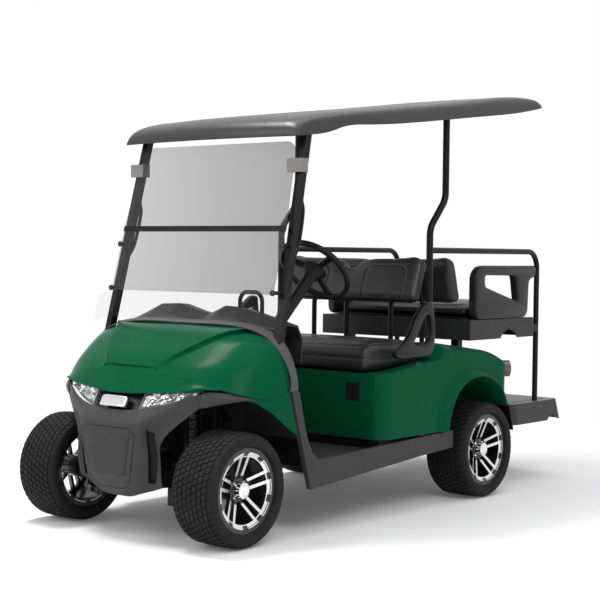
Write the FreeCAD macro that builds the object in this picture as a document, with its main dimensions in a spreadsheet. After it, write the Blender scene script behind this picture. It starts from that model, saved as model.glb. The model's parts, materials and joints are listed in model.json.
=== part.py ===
"""Golf cart with 2+2 seats, electric, built from separate pieces in millimetres.

The frame: +X forward, +Y left, +Z up, with the origin on the ground under the middle of the cart.
"""
import FreeCAD, Part
import math
import os
from FreeCAD import Placement, Rotation, Vector

SIZES = {
    # whole cart
    "front_axle_place": 1175,
    "wheelbase": 1670,
    "front_track": 902,
    "rear_track": 986,
    "fit_gap": 0.3,
    "running_gap": 0.05,
    "overrun": 5,
    # tyres and rims
    "tyre_radius": 227.5,
    "tyre_half_width": 107,
    "tyre_tread_half_width": 84,
    "tyre_shoulder_drop": 12,
    "tyre_wall": 13,
    "bead_radius": 152,
    "rim_half_width": 92,
    "rim_flange_height": 16,
    "rim_flange_width": 7,
    "rim_barrel_wall": 7,
    "rim_face_place": 30,
    "rim_face_thickness": 18,
    "rim_face_rise": 40,
    "rim_hub_radius": 46,
    "rim_hub_inner": 60,
    "rim_ring_inner": 132,
    "rim_bar_width": 13,
    "rim_bar_side": 14,
    "rim_bar_splay_angle": 3,
    "hub_cap_radius": 32,
    "hub_cap_height": 34,
    "spindle_radius": 20,
    "spindle_depth": 76,
    # front axle, steering and front springs
    "kingpin_offset": 116,
    "kingpin_radius": 10,
    "knuckle_radius": 21,
    "knuckle_bottom": 165,
    "knuckle_top": 290,
    "steering_arm_length": 95,
    "steering_arm_tuck": 15,
    "steering_arm_eye": 16,
    "steering_arm_top": 182,
    "steering_arm_thickness": 14,
    "rack_height": 196,
    "rack_radius": 8,
    "rack_housing_radius": 17,
    "rack_housing_half": 140,
    "lower_arm_bottom": 138,
    "upper_arm_bottom": 295,
    "arm_thickness": 22,
    "arm_root_half": 75,
    "arm_tip_half": 22,
    "shock_radius": 17,
    "shock_spring_radius": 27,
    "shock_top": 530,
    "tower_half": 46,
    "tower_plate": 8,
    # frame
    "rail_side": 190,
    "rail_width": 50,
    "rail_height": 70,
    "rail_bottom": 215,
    "rail_nose_gap": 120,
    "rail_kick_front": 215,
    "rail_kick_run": 95,
    "rail_tail": 1290,
    "cross_depth": 50,
    "cowl_beam_back": 263,
    "cowl_beam_depth": 46,
    "cowl_post_depth": 22,
    "cowl_beam_size": 36,
    "cowl_beam_top": 757,
    "cowl_beam_inset": 50,
    "pivot_half_length": 12,
    "deck_post_x": 560,
    "nose_post_ahead": 55,
    "nose_post_depth": 32,
    "nose_post_side": 115,
    "nose_post_width": 24,
    "nose_arm_height": 22,
    "fascia_arm_z": 395,
    "lamp_arm_z": 556,
    "trim_post_back": 236,
    "trim_post_depth": 19,
    "trim_post_side": 300,
    # floor
    "floor_front_back": 340,
    "floor_rear": 300,
    "floor_thickness": 10,
    "toe_wall_top": 440,
    "toe_board_top": 700,
    "toe_board_lean": 84,
    "floor_rear_lip": 45,
    "mat_thickness": 8,
    "mat_margin": 6,
    # battery
    "battery_front": 268,
    "battery_rear": 80,
    "battery_half_width": 340,
    "battery_height": 260,
    # rockers
    "rocker_proud": 6,
    "rocker_thickness": 26,
    "rocker_front_back": 213,
    "rocker_rear": 240,
    "rocker_bottom": 190,
    "rocker_top": 640,
    # hood, fascia and lamps
    "hood_thickness": 5,
    "fascia_thickness": 7,
    "body_half_width": 562,
    "hood_rear_back": 203,
    "hood_rear_z": 850,
    "nose_ahead": 164,
    "nose_z": 602,
    "fascia_ahead": 235,
    "fascia_bottom": 170,
    "fascia_top": 522,
    "fascia_half_width": 372,
    "lamp_thickness": 16,
    "lamp_stand": 3,
    "band_thickness": 6,
    "trim_width": 44,
    "trim_thickness": 5,
    "arch_radius": 345,
    "liner_thickness": 4,
    "liner_inner_offset": 219,
    "liner_shelf_z": 405,
    # dash and steering wheel
    "dash_inset": 122,
    "dash_depth": 228,
    "dash_bottom": 691,
    "dash_height": 211,
    "handle_foot_rise": 109,
    "handle_top_rise": 294,
    "handle_half": 62,
    "handle_back": 400,
    "handle_side": 205,
    "handle_bend": 40,
    "dash_thickness": 6,
    "wheel_side": 250,
    "steering_back": 771,
    "steering_z": 1079,
    "steering_tilt_angle": 43,
    "steering_radius": 160,
    "steering_grip": 14,
    "column_radius": 27,
    "column_gap": 3,
    "hub_gap": 0.3,
    "column_start": 52,
    "column_end": 700,
    "handle_radius": 9,
    "pedal_side": 70,
    "pedal_back": 70,
    "pedal_depth": 34,
    "pedal_height": 140,
    "pedal_arm": 10,
    "brake_pedal_width": 98,
    "drive_pedal_width": 56,
    # windscreen
    "screen_back": 305,
    "screen_z": 1252,
    "screen_lean_angle": 15.4,
    "screen_thickness": 5,
    "screen_half_width": 470,
    "screen_top_half": 441,
    "screen_top": 1614,
    "screen_bottom": 866,
    "screen_corner": 58,
    "screen_split": 3,
    "screen_grip": 3,
    "clip_half_height": 28,
    "clip_inner": 46,
    "clip_outer": 30,
    "clip_lip": 8,
    "clip_z": 1512,
    "knob_radius": 12,
    "knob_shank_radius": 8,
    "knob_low_z": 990,
    "knob_high_z": 1184,
    "wing_inset": 17,
    "wing_top": 978,
    "wing_bottom": 838,
    "hinge_bar_half": 5,
    # struts and roof
    "front_strut_foot_back": 235,
    "front_strut_foot_inset": 67,
    "front_strut_top_back": 440,
    "front_strut_top_inset": 100,
    "front_strut_depth": 36,
    "front_strut_width": 30,
    "rear_strut_radius": 16,
    "rear_strut_inset": 112,
    "rear_strut_foot_x": 197,
    "rear_strut_top_x": 322,
    "rear_strut_bend_low": 1275,
    "rear_strut_bend_high": 1412,
    "rear_strut_bend": 90,
    "roof_front_back": 348,
    "roof_rear_x": 1118,
    "roof_front_bulge": 43,
    "roof_rear_bulge": 52,
    "roof_inset": 62,
    "roof_front_z": 1627,
    "roof_rise": 266,
    "roof_crown": 78,
    "roof_scoop": 20,
    "roof_thickness": 5,
    "roof_bracket_width": 22,
    "roof_bracket_rear": 1005,
    # rear body
    "pod_front": 312,
    "pod_bottom": 342,
    "pod_corner": 70,
    "pod_rear": 748,
    "pod_rear_corner": 75,
    "pod_tail_bottom": 427,
    "pod_wall": 6,
    "pod_top_front": 628,
    "deck_top": 741,
    "seat_well_rear": 128,
    "seat_well_inset": 74,
    "rear_arch_half_length": 265,
    "rear_arch_height": 300,
    "rear_arch_ahead": 70,
    "rear_arch_z": 300,
    "rear_arch_lip": 46,
    "rear_arch_edge": 10,
    "rear_arch_flare": 34,
    "rear_liner_gap": 34,
    "port_side": 400,
    "port_z": 548,
    "port_size": 76,
    "port_thickness": 4,
    # front seat
    "cushion_front": 322,
    "cushion_rear": 118,
    "cushion_gap": 10,
    "cushion_height": 128,
    "cushion_round": 34,
    "back_half_width": 424,
    "back_foot_x": 112,
    "back_bottom": 925,
    "back_height": 245,
    "back_thickness": 72,
    "back_lean_angle": 20,
    "back_round": 26,
    "back_notch_half": 62,
    "back_notch_depth": 30,
    "hip_inset": 17,
    "hip_thickness": 34,
    "hip_round": 16,
    "hip_hole_round": 12,
    "frame_tube_radius": 12,
    "frame_tube_side": 233,
    "frame_tube_bend": 48,
    "hoop_low": 20,
    "hoop_high": 180,
    "tray_foot_x": 620,
    "tray_foot_side": 330,
    "tray_foot_size": 40,
    "tray_lug_low": 760,
    "tray_lug_height": 40,
    # rear seat
    "rear_back_foot_x": 545,
    "rear_back_bottom": 915,
    "rear_back_lean_angle": 14,
    "tray_front": 545,
    "tray_rear": 1150,
    "tray_bottom": 738,
    "tray_height": 98,
    "tray_inset": 107,
    "tray_wall": 6,
    "board_thickness": 12,
    "board_half_width": 392,
    "rear_cushion_height": 62,
    "rear_cushion_front": 600,
    "flip_gap": 6,
    "hinge_pin_radius": 5,
    "hinge_wall": 4,
    "hinge_side": 270,
    "hinge_half_length": 20,
    "hinge_clear": 3,
    "arm_inset": 100,
    "arm_depth": 44,
    "arm_front": 585,
    "arm_top": 1104,
    "arm_round": 20,
    "arm_hole_round": 16,
    "side_rail_radius": 14,
    "side_rail_z": 1172,
    "side_rail_inset": 122,
    "side_rail_rear": 1196,
    "side_rail_bend": 85,
    # foot plate, lamps and flaps
    "plate_front": 917,
    "plate_rear": 1395,
    "plate_top": 400,
    "plate_inset": 91,
    "plate_skirt": 104,
    "plate_flare": 15,
    "plate_wall": 6,
    "plate_corner": 45,
    "plate_arch_radius": 90,
    "plate_arch_rise": 22,
    "plate_arch_x": 1310,
    "tread_rise": 2,
    "tread_margin": 56,
    "tail_lamp_radius": 40,
    "tail_lamp_depth": 105,
    "tail_lamp_x": 690,
    "tail_lamp_side": 470,
    "tail_lamp_angle": 140,
    "tail_lamp_z": 597,
    "flap_top_back": 200,
    "flap_bottom_back": 242,
    "flap_thickness": 5,
    "flap_root": 18,
    "flap_height": 127,
    "flap_inner_side": 500,
    "flap_width": 88,
    # rear axle
    "axle_tube_radius": 32,
    "drum_gap": 24,
    "drum_radius": 112,
    "drum_thickness": 9,
    "gear_case_radius": 92,
    "gear_case_side": 15,
    "gear_case_width": 88,
    "motor_radius": 78,
    "motor_forward": 155,
    "motor_length": 170,
    "leaf_width": 58,
    "leaf_thickness": 14,
    "leaf_half_length": 272,
}

doc = FreeCAD.newDocument("golf_cart")
sheet = doc.addObject("Spreadsheet::Sheet", "Dims")
for row, (alias, value) in enumerate(SIZES.items(), 1):
    cell = "A%d" % row
    sheet.set(cell, str(value))
    sheet.setAlias(cell, alias)
doc.recompute()

AXIS_X = Vector(1, 0, 0)
AXIS_Y = Vector(0, 1, 0)
AXIS_Z = Vector(0, 0, 1)
ORIGIN = Vector()
nodes = []


def size(alias):
    return float(sheet.get(alias))


# Places worked out from the driving sizes
front_axle_x = size("front_axle_place")
rear_axle_x = front_axle_x - size("wheelbase")
fascia_front_x = front_axle_x + size("fascia_ahead")
nose_x = front_axle_x + size("nose_ahead")
nose_post_x = front_axle_x + size("nose_post_ahead")
hood_rear_x = front_axle_x - size("hood_rear_back")
rocker_front = front_axle_x - size("rocker_front_back")
trim_post_x = front_axle_x - size("trim_post_back")
cowl_beam_x = front_axle_x - size("cowl_beam_back")
strut_foot_x = front_axle_x - size("front_strut_foot_back")
strut_top_x = front_axle_x - size("front_strut_top_back")
screen_x = front_axle_x - size("screen_back")
floor_front = front_axle_x - size("floor_front_back")
roof_front_x = front_axle_x - size("roof_front_back")
handle_x = front_axle_x - size("handle_back")
steering_x = front_axle_x - size("steering_back")
body_half = size("body_half_width")
rocker_outer = body_half + size("rocker_proud")
cowl_beam_half = body_half - size("cowl_beam_inset")
strut_foot_side = body_half - size("front_strut_foot_inset")
strut_top_side = body_half - size("front_strut_top_inset")
rear_strut_side = body_half - size("rear_strut_inset")
roof_half = body_half - size("roof_inset")
wing_half = body_half - size("wing_inset")
dash_half = body_half - size("dash_inset")
well_half = body_half - size("seat_well_inset")
cushion_half = well_half - size("cushion_gap")
hip_outer = body_half - size("hip_inset")
tray_half = body_half - size("tray_inset")
arm_outer = body_half - size("arm_inset")
side_rail_side = body_half - size("side_rail_inset")
plate_half = body_half - size("plate_inset")
kingpin_side = size("front_track") / 2 - size("kingpin_offset")
liner_inner = size("front_track") / 2 - size("liner_inner_offset")
rear_liner_inner = size("rear_track") / 2 - size("tyre_half_width") - size("rear_liner_gap")
axle_end = size("rear_track") / 2 - size("rim_hub_inner") - size("drum_gap") - size("drum_thickness")
arm_root_side = size("rail_side") + size("rail_width") / 2
axle_z = size("tyre_radius")
gap = size("fit_gap")
running_gap = size("running_gap")
overrun = size("overrun")
rail_top = size("rail_bottom") + size("rail_height")
rear_rail_top = size("plate_top") - size("plate_wall") - gap
rear_rail_bottom = rear_rail_top - size("rail_height")
floor_bottom = rail_top
floor_top = floor_bottom + size("floor_thickness")
floor_half = rocker_outer - size("rocker_thickness") - gap


def add_node(name, shape):
    """One named piece, already in its place in the cart's frame."""
    item = doc.addObject("Part::Feature", name)
    item.Shape = shape
    item.Placement = shape.Placement
    item.Label = name
    nodes.append(item)
    return item


def claim_node(item, name):
    """Names an object that the document builds by itself as a finished piece."""
    item.Label = name
    nodes.append(item)
    return item


def mirrored(shape):
    return shape.mirror(ORIGIN, AXIS_Y)


def pair(shape):
    return Part.makeCompound([shape, mirrored(shape)])


def block(x_low, x_high, y_low, y_high, z_low, z_high):
    corner = Vector(x_low, y_low, z_low)
    return Part.makeBox(x_high - x_low, y_high - y_low, z_high - z_low, corner)


def rod(start, end, radius):
    along = end - start
    return Part.makeCylinder(radius, along.Length, start, along)


def closed_face(points):
    return Part.Face(Part.makePolygon(points + [points[0]]))


def side_prism(points, y_low, y_high):
    """A flat outline of (x, z) points, as thick as from y_low to y_high."""
    corners = [Vector(x, y_low, z) for x, z in points]
    return closed_face(corners).extrude(Vector(0, y_high - y_low, 0))


def plan_prism(points, z_low, z_high):
    corners = [Vector(x, y, z_low) for x, y in points]
    return closed_face(corners).extrude(Vector(0, 0, z_high - z_low))


def front_prism(points, x_low, x_high):
    corners = [Vector(x_low, y, z) for y, z in points]
    return closed_face(corners).extrude(Vector(x_high - x_low, 0, 0))


def spread(shares, low_a, span_a, low_b, span_b):
    """An outline written in shares of two named spans."""
    return [(low_a + a * span_a, low_b + b * span_b) for a, b in shares]


def unit(vector):
    return vector * (1 / vector.Length)


def bent_path(points, bend):
    """Straight runs joined by tangent arcs of one bend radius."""
    edges = []
    start = points[0]
    for before, corner, after in zip(points, points[1:], points[2:]):
        into = unit(corner - before)
        out = unit(after - corner)
        half_turn = into.getAngle(out) / 2
        reach = bend * math.tan(half_turn)
        arc_start = corner - into * reach
        arc_end = corner + out * reach
        inward = unit(out - into)
        arc_middle = corner + inward * (bend / math.cos(half_turn) - bend)
        edges.append(Part.LineSegment(start, arc_start).toShape())
        edges.append(Part.Arc(arc_start, arc_middle, arc_end).toShape())
        start = arc_end
    edges.append(Part.LineSegment(start, points[-1]).toShape())
    return Part.Wire(edges)


def rounded_wire(corners, radius):
    """A closed outline whose corners are all rounded with one radius."""
    middle = (corners[-1] + corners[0]) * (1 / 2)
    return bent_path([middle] + corners + [middle], radius)


def rounded_prism(points, y_low, y_high, radius):
    """A side outline of (x, z) points with round corners, as thick as from y_low to y_high."""
    wire = rounded_wire([Vector(x, y_low, z) for x, z in points], radius)
    return Part.Face(wire).extrude(Vector(0, y_high - y_low, 0))


def bent_tube(points, radius, bend):
    path = bent_path(points, bend)
    ring = Part.Wire(Part.makeCircle(radius, points[0], points[1] - points[0]))
    return path.makePipeShell([ring], True, False)


def skin(grid):
    surface = Part.BSplineSurface()
    surface.interpolate(grid)
    return surface.toShape()


def inset_grid(grid, depth):
    """The same grid, moved by depth along the skin's own normals."""
    last_row = len(grid) - 1
    last_column = len(grid[0]) - 1
    moved = []
    for i, row in enumerate(grid):
        line = []
        for j, point in enumerate(row):
            along = grid[min(i + 1, last_row)][j] - grid[max(i - 1, 0)][j]
            across = row[min(j + 1, last_column)] - row[max(j - 1, 0)]
            line.append(point + unit(along.cross(across)) * depth)
        moved.append(line)
    return moved


def panel(grid, thickness):
    """A curved sheet of even thickness over a grid of points, as a closed solid."""
    outer = skin(grid)
    inner = skin(inset_grid(grid, thickness))
    sides = [Part.makeRuledSurface(a, b) for a, b in zip(outer.Edges, inner.Edges)]
    shell = Part.makeCompound([outer, inner] + sides)
    shell.sewShape()
    solid = Part.makeSolid(shell.Shells[0])
    if solid.Volume < 0:
        solid.reverse()
    return solid


def flush(shape, neighbours, place):
    """The part of a shape around a place that is left between its neighbours."""
    left = shape.cut(neighbours)
    return min(left.Solids, key=lambda solid: (solid.CenterOfMass - place).Length)


def full_row(half_row):
    """A row given from the middle to the left, completed to the right."""
    right = [Vector(x, -y, z) for x, y, z in reversed(half_row[1:])]
    return right + [Vector(*point) for point in half_row]


# The tyre's inner side: the wall at its middle and under the tread, as shares of the wall's size
WALL_SHARE = 1.3
CROWN_SHARE = 1.5


def tyre_solid():
    """A low-profile tyre about the Y axis: an open carcass with a flat tread."""
    outer_radius = size("tyre_radius")
    half_width = size("tyre_half_width")
    tread = size("tyre_tread_half_width")
    shoulder = outer_radius - size("tyre_shoulder_drop")
    wall = size("tyre_wall")
    bead = size("bead_radius") + gap
    bead_out = size("rim_half_width") - size("rim_flange_width") - gap
    flange_top = size("bead_radius") + size("rim_flange_height")
    belly = (outer_radius + flange_top) / 2
    half = [
        (0, outer_radius),
        (tread, outer_radius - size("tyre_shoulder_drop") / 4),
        (half_width - wall / 3, shoulder - wall / 3),
        (half_width, belly),
        (half_width - wall / 3, flange_top + wall / 2),
        (bead_out, flange_top + gap),
        (bead_out, bead),
        (bead_out - wall, bead),
        (half_width - wall * WALL_SHARE, belly),
        (tread - wall, outer_radius - wall * CROWN_SHARE),
        (0, outer_radius - wall),
    ]
    right = [(-y, r) for y, r in reversed(half[1:-1])]
    corners = [Vector(0, y, r) for y, r in half + right]
    return closed_face(corners).revolve(ORIGIN, AXIS_Y, 360)


# The cap's front face as a share of its foot, and how many pairs of bars a rim has
CAP_TAPER_SHARE = 0.8
RIM_BAR_PAIRS = 5


def rim_bars(low, high):
    """Five pairs of straight bars from the hub to the rim's edge, a little splayed."""
    reach = size("bead_radius")
    width = size("rim_bar_width")
    bars = []
    for step in range(RIM_BAR_PAIRS):
        for sign in (1, -1):
            side = sign * size("rim_bar_side") - width / 2
            bar = block(side, side + width, low, high, 0, reach)
            turn = Rotation(AXIS_Y, 360 / RIM_BAR_PAIRS * step + sign * size("rim_bar_splay_angle"))
            bar.Placement = Placement(ORIGIN, turn).multiply(bar.Placement)
            bars.append(bar)
    return bars


def rim_solid():
    """An alloy rim about the Y axis, its face towards +Y: five pairs of bars and a cap."""
    bead = size("bead_radius")
    edge = size("rim_half_width")
    flange = size("rim_flange_width")
    lip = bead + size("rim_flange_height")
    barrel_inner = bead - size("rim_barrel_wall")
    barrel_outline = [
        (-edge, barrel_inner), (-edge, lip), (flange - edge, lip), (flange - edge, bead),
        (edge - flange, bead), (edge - flange, lip), (edge, lip), (edge, barrel_inner),
    ]
    barrel = closed_face([Vector(0, y, r) for y, r in barrel_outline])
    barrel = barrel.revolve(ORIGIN, AXIS_Y, 360)
    low = size("rim_face_place")
    high = low + size("rim_face_thickness")
    rise = size("rim_face_rise")
    hub_radius = size("rim_hub_radius")
    reach = barrel_inner + overrun / 4
    dish = closed_face([Vector(0, low, 0), Vector(0, low, hub_radius), Vector(0, low + rise, reach),
                        Vector(0, high + rise, reach), Vector(0, high, hub_radius),
                        Vector(0, high, 0)]).revolve(ORIGIN, AXIS_Y, 360)
    ring = Part.makeCylinder(reach, high + rise, ORIGIN, AXIS_Y)
    ring = ring.cut(Part.makeCylinder(size("rim_ring_inner"), high + rise, ORIGIN, AXIS_Y))
    face = dish.common(Part.makeCompound(rim_bars(0, high + rise)).fuse(ring))
    hub_low = -size("rim_hub_inner")
    hub = Part.makeCylinder(hub_radius, high - hub_low, Vector(0, hub_low, 0), AXIS_Y)
    cap_radius = size("hub_cap_radius")
    cap = Part.makeCone(cap_radius, cap_radius * CAP_TAPER_SHARE, size("hub_cap_height"),
                        Vector(0, high, 0), AXIS_Y)
    bore = Part.makeCylinder(size("spindle_radius") + running_gap,
                             size("spindle_depth") + overrun,
                             Vector(0, hub_low - overrun, 0), AXIS_Y)
    return barrel.fuse([face, hub, cap]).cut(bore)


def placed_wheel(shape, x, side, left):
    """A wheel's piece at one corner, with its face outward."""
    piece = shape.copy()
    if not left:
        piece = mirrored(piece)
        side = -side
    piece.translate(Vector(x, side, axle_z))
    return piece


tyre_shape = tyre_solid()
rim_shape = rim_solid()
for end, x, track in (("front", front_axle_x, size("front_track")),
                      ("rear", rear_axle_x, size("rear_track"))):
    for hand, left in (("left", True), ("right", False)):
        add_node("tyre_%s_%s" % (end, hand), placed_wheel(tyre_shape, x, track / 2, left))
        add_node("rim_%s_%s" % (end, hand), placed_wheel(rim_shape, x, track / 2, left))


def knuckle_solid():
    """The left knuckle: an upright on its kingpin, the spindle and the steering arm."""
    side = kingpin_side
    bottom = size("knuckle_bottom")
    top = size("knuckle_top")
    foot = Vector(front_axle_x, side, bottom)
    upright = Part.makeCylinder(size("knuckle_radius"), top - bottom, foot, AXIS_Z)
    spindle_end = size("front_track") / 2 - size("rim_hub_inner") + size("spindle_depth")
    spindle = rod(Vector(front_axle_x, side, axle_z),
                  Vector(front_axle_x, spindle_end, axle_z), size("spindle_radius"))
    arm_z = size("steering_arm_top") - size("steering_arm_thickness")
    eye = Vector(front_axle_x - size("steering_arm_length"), side - size("steering_arm_tuck"), arm_z)
    width = size("steering_arm_eye")
    arm = plan_prism([
        (eye.x, eye.y - width / 2), (eye.x, eye.y + width / 2),
        (front_axle_x, side + width / 2), (front_axle_x, side - width / 2),
    ], arm_z, size("steering_arm_top"))
    arm_end = Part.makeCylinder(width, size("steering_arm_thickness"), eye, AXIS_Z)
    body = upright.fuse([spindle, arm, arm_end])
    pin = size("kingpin_radius") + running_gap
    bore = Part.makeCylinder(pin, top - bottom + 2 * overrun,
                             Vector(front_axle_x, side, bottom - overrun), AXIS_Z)
    return body.cut(bore).removeSplitter()


knuckle = knuckle_solid()
add_node("knuckle_left", knuckle)
add_node("knuckle_right", mirrored(knuckle))


# The shock's foot and head, as shares of the way from the frame to the kingpin
SHOCK_FOOT_SHARE = 0.44
SHOCK_TOP_SHARE = 0.21
# The wishbone's opening at its tip, as shares of the tip's half width
TIP_HALF_SHARE = 0.8
TIP_BACK_SHARE = 1.4
shock_foot_side = arm_root_side + (kingpin_side - arm_root_side) * SHOCK_FOOT_SHARE
shock_top_side = arm_root_side + (kingpin_side - arm_root_side) * SHOCK_TOP_SHARE


def wishbone(bottom):
    """A left suspension arm: an open V from the frame to the kingpin."""
    root = arm_root_side
    tip = kingpin_side
    half = size("arm_root_half")
    tip_half = size("arm_tip_half")
    thickness = size("arm_thickness")
    outline = [
        (front_axle_x - half, root), (front_axle_x + half, root),
        (front_axle_x + tip_half, tip), (front_axle_x - tip_half, tip),
    ]
    opening = [
        (front_axle_x - half + tip_half, root + tip_half / 2),
        (front_axle_x + half - tip_half, root + tip_half / 2),
        (front_axle_x + tip_half * TIP_HALF_SHARE, tip - tip_half * TIP_BACK_SHARE),
        (front_axle_x - tip_half * TIP_HALF_SHARE, tip - tip_half * TIP_BACK_SHARE),
    ]
    arm = plan_prism(outline, bottom, bottom + thickness)
    eye = Part.makeCylinder(tip_half, thickness, Vector(front_axle_x, tip, bottom), AXIS_Z)
    return arm.fuse(eye).cut(plan_prism(opening, bottom - overrun, bottom + thickness + overrun))


def front_arms():
    """Both lower and upper arms of the left side, with the kingpin that joins them."""
    low = size("lower_arm_bottom")
    high = size("upper_arm_bottom")
    thickness = size("arm_thickness")
    lower = wishbone(low)
    shelf_width = size("shock_spring_radius") * 2
    shelf = block(front_axle_x - shelf_width, front_axle_x + shelf_width,
                  shock_foot_side - size("shock_radius"),
                  shock_foot_side + size("shock_radius"), low, low + thickness)
    pin = Part.makeCylinder(size("kingpin_radius"), high - low,
                            Vector(front_axle_x, kingpin_side, low), AXIS_Z)
    return lower.fuse([shelf, pin, wishbone(high)]).removeSplitter()


add_node("front_arms", pair(front_arms()))


SPRING_TURNS = 6
# Where the spring starts and ends along the damper, and its eyes' radius over the damper's
SPRING_LOW_SHARE = 0.34
SPRING_HIGH_SHARE = 0.9
EYE_SHARE = 0.8


def front_shock():
    """The left coil-over: a damper with its spring's outer sleeve between two seats."""
    foot = Vector(front_axle_x, shock_foot_side,
                  size("lower_arm_bottom") + size("arm_thickness"))
    head = Vector(front_axle_x, shock_top_side, size("shock_top"))
    along = unit(head - foot)
    length = (head - foot).Length
    cap = size("shock_radius")
    damper = rod(foot + along * cap, head - along * cap, cap)
    wire_radius = cap / 3
    spring_low = foot + along * (length * SPRING_LOW_SHARE)
    spring_high = foot + along * (length * SPRING_HIGH_SHARE)
    coil_radius = size("shock_spring_radius") - wire_radius
    pitch = (spring_high - spring_low).Length / SPRING_TURNS
    outline = [(cap, 0)]
    for turn in range(SPRING_TURNS):
        low = pitch * turn
        outline += [(coil_radius, low), (coil_radius + wire_radius, low + pitch / 4),
                    (coil_radius + wire_radius, low + pitch / 2), (coil_radius, low + pitch * 3 / 4)]
    outline += [(coil_radius, pitch * SPRING_TURNS), (cap, pitch * SPRING_TURNS)]
    section = closed_face([Vector(r, 0, z) for r, z in outline])
    coil = section.revolve(ORIGIN, AXIS_Z, 360)
    coil.Placement = Placement(spring_low, Rotation(AXIS_Z, along))
    seat = rod(spring_low - along * cap / 2, spring_low, size("shock_spring_radius"))
    top_seat = rod(spring_high, spring_high + along * cap / 2, size("shock_spring_radius"))
    eye_half = size("tower_half") - size("tower_plate")
    top_eye = rod(head - AXIS_X * eye_half, head + AXIS_X * eye_half, cap * EYE_SHARE)
    foot_eye = foot + Vector(0, 0, cap * EYE_SHARE)
    low_eye = rod(foot_eye - AXIS_X * cap, foot_eye + AXIS_X * cap, cap * EYE_SHARE)
    return damper.fuse([seat, top_seat, top_eye, low_eye, coil])


add_node("front_shocks", pair(front_shock()))


def frame_solid():
    """The steel frame: two rails with a kick over the rear axle, cross members and deck posts."""
    front = fascia_front_x - size("rail_nose_gap")
    kick_front = -size("rail_kick_front") + size("rail_kick_run")
    kick_rear = kick_front - size("rail_kick_run")
    tail = -size("rail_tail")
    low = size("rail_bottom")
    rail_outline = [
        (front, low), (front, rail_top), (kick_front + size("rail_kick_run") / 3, rail_top),
        (kick_rear + size("rail_kick_run") / 3, rear_rail_top), (tail, rear_rail_top),
        (tail, rear_rail_bottom), (kick_rear, rear_rail_bottom), (kick_front, low),
    ]
    inner = size("rail_side") - size("rail_width") / 2
    outer = size("rail_side") + size("rail_width") / 2
    rail = side_prism(rail_outline, inner, outer)
    depth = size("cross_depth")
    crosses = []
    for x in (front - depth, front_axle_x + size("arm_root_half") / 2,
              front_axle_x - size("steering_arm_length") - depth / 2,
              floor_front - depth, size("floor_rear") - depth,
              -size("battery_rear") - depth):
        crosses.append(block(x, x + depth, -inner, inner, low, rail_top))
    for x in (tail, -size("deck_post_x") - depth / 2):
        crosses.append(block(x, x + depth, -inner, inner, rear_rail_bottom, rear_rail_top))
    post = deck_post()
    return rail.fuse(crosses + [post, mirrored(post), mirrored(rail)])


def cowl_frame():
    """The beam behind the hood on its two columns, with the stays of the strip above it."""
    front = cowl_beam_x + size("cowl_beam_depth")
    low = size("cowl_beam_top") - size("cowl_beam_size")
    beam = block(cowl_beam_x, front, -cowl_beam_half, cowl_beam_half, low, size("cowl_beam_top"))
    half = size("cowl_beam_size") / 2
    column = block(front - size("cowl_post_depth"), front, size("rail_side") - half,
                   size("rail_side") + half, rail_top, low)
    stay = trim_post()
    return beam.fuse([column, stay, mirrored(column), mirrored(stay)])


def trim_post():
    """A stay from the cowl beam up to the strip behind the hood."""
    half = size("cowl_beam_size") / 2
    x = trim_post_x
    side = size("trim_post_side")
    low = size("cowl_beam_top")
    stay = block(x, x + size("trim_post_depth"), side - half, side + half, low,
                 size("hood_rear_z") + size("cowl_beam_size"))
    return flush(stay, [trim_shape], Vector(x, side, low))


def nose_post():
    """The left nose post up to the hood, with its arms to the lamp band and the bumper."""
    x = nose_post_x
    front = x + size("nose_post_depth")
    y_low = size("nose_post_side") - size("nose_post_width") / 2
    y_high = y_low + size("nose_post_width")
    centre_y = size("nose_post_side")
    rise = size("nose_arm_height")
    post = block(x, front, y_low, y_high, rail_top, size("hood_rear_z"))
    arms = []
    for z, neighbour in ((size("fascia_arm_z"), fascia_shape), (size("lamp_arm_z"), band_shape)):
        arm = block(x, fascia_front_x + overrun, y_low, y_high, z, z + rise)
        arms.append(flush(arm, [neighbour], Vector(x, centre_y, z)))
    return flush(post, [hood_shape], Vector(x, centre_y, rail_top)).fuse(arms)


def deck_post():
    """A post from the left rail up to the rear body's deck."""
    half = size("cowl_beam_size") / 2
    front = half - size("deck_post_x")
    rear = -half - size("deck_post_x")
    wall = size("pod_wall")
    outline = [(front, rear_rail_top), (front, deck_height(front) - wall),
               (rear, deck_height(rear) - wall), (rear, rear_rail_top)]
    return side_prism(outline, size("rail_side") - half, size("rail_side") + half)


def pivot_lugs():
    """The lugs on the left rail that carry the roots of both suspension arms."""
    half = size("pivot_half_length")
    inner = size("rail_side")
    outer = arm_root_side
    lugs = []
    for end in (-1, 1):
        x = front_axle_x + end * (size("arm_root_half") - half)
        lugs.append(block(x - half, x + half, inner, outer, size("lower_arm_bottom"),
                          size("rail_bottom")))
        lugs.append(block(x - half, x + half, inner, outer, rail_top,
                          size("upper_arm_bottom") + size("arm_thickness")))
    return lugs


def tower_solid():
    """The left spring tower: two plates and a roof, standing on the rail."""
    half = size("tower_half")
    plate = size("tower_plate")
    inner = size("rail_side")
    outer = shock_top_side + size("shock_radius")
    top = size("shock_top") + size("shock_radius")
    cheek = block(front_axle_x + half - plate, front_axle_x + half, inner, outer, rail_top, top)
    far_cheek = block(front_axle_x - half, front_axle_x - half + plate, inner, outer, rail_top, top)
    roof = block(front_axle_x - half, front_axle_x + half, inner, outer, top, top + plate)
    slack = gap * 2
    pocket = block(front_axle_x - half - overrun, front_axle_x + half + overrun,
                   size("rail_side") + size("rail_width") / 2, outer + overrun,
                   size("upper_arm_bottom") - slack - overrun,
                   size("upper_arm_bottom") + size("arm_thickness") + overrun * 2)
    return cheek.fuse([far_cheek, roof]).cut(pocket)


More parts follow.
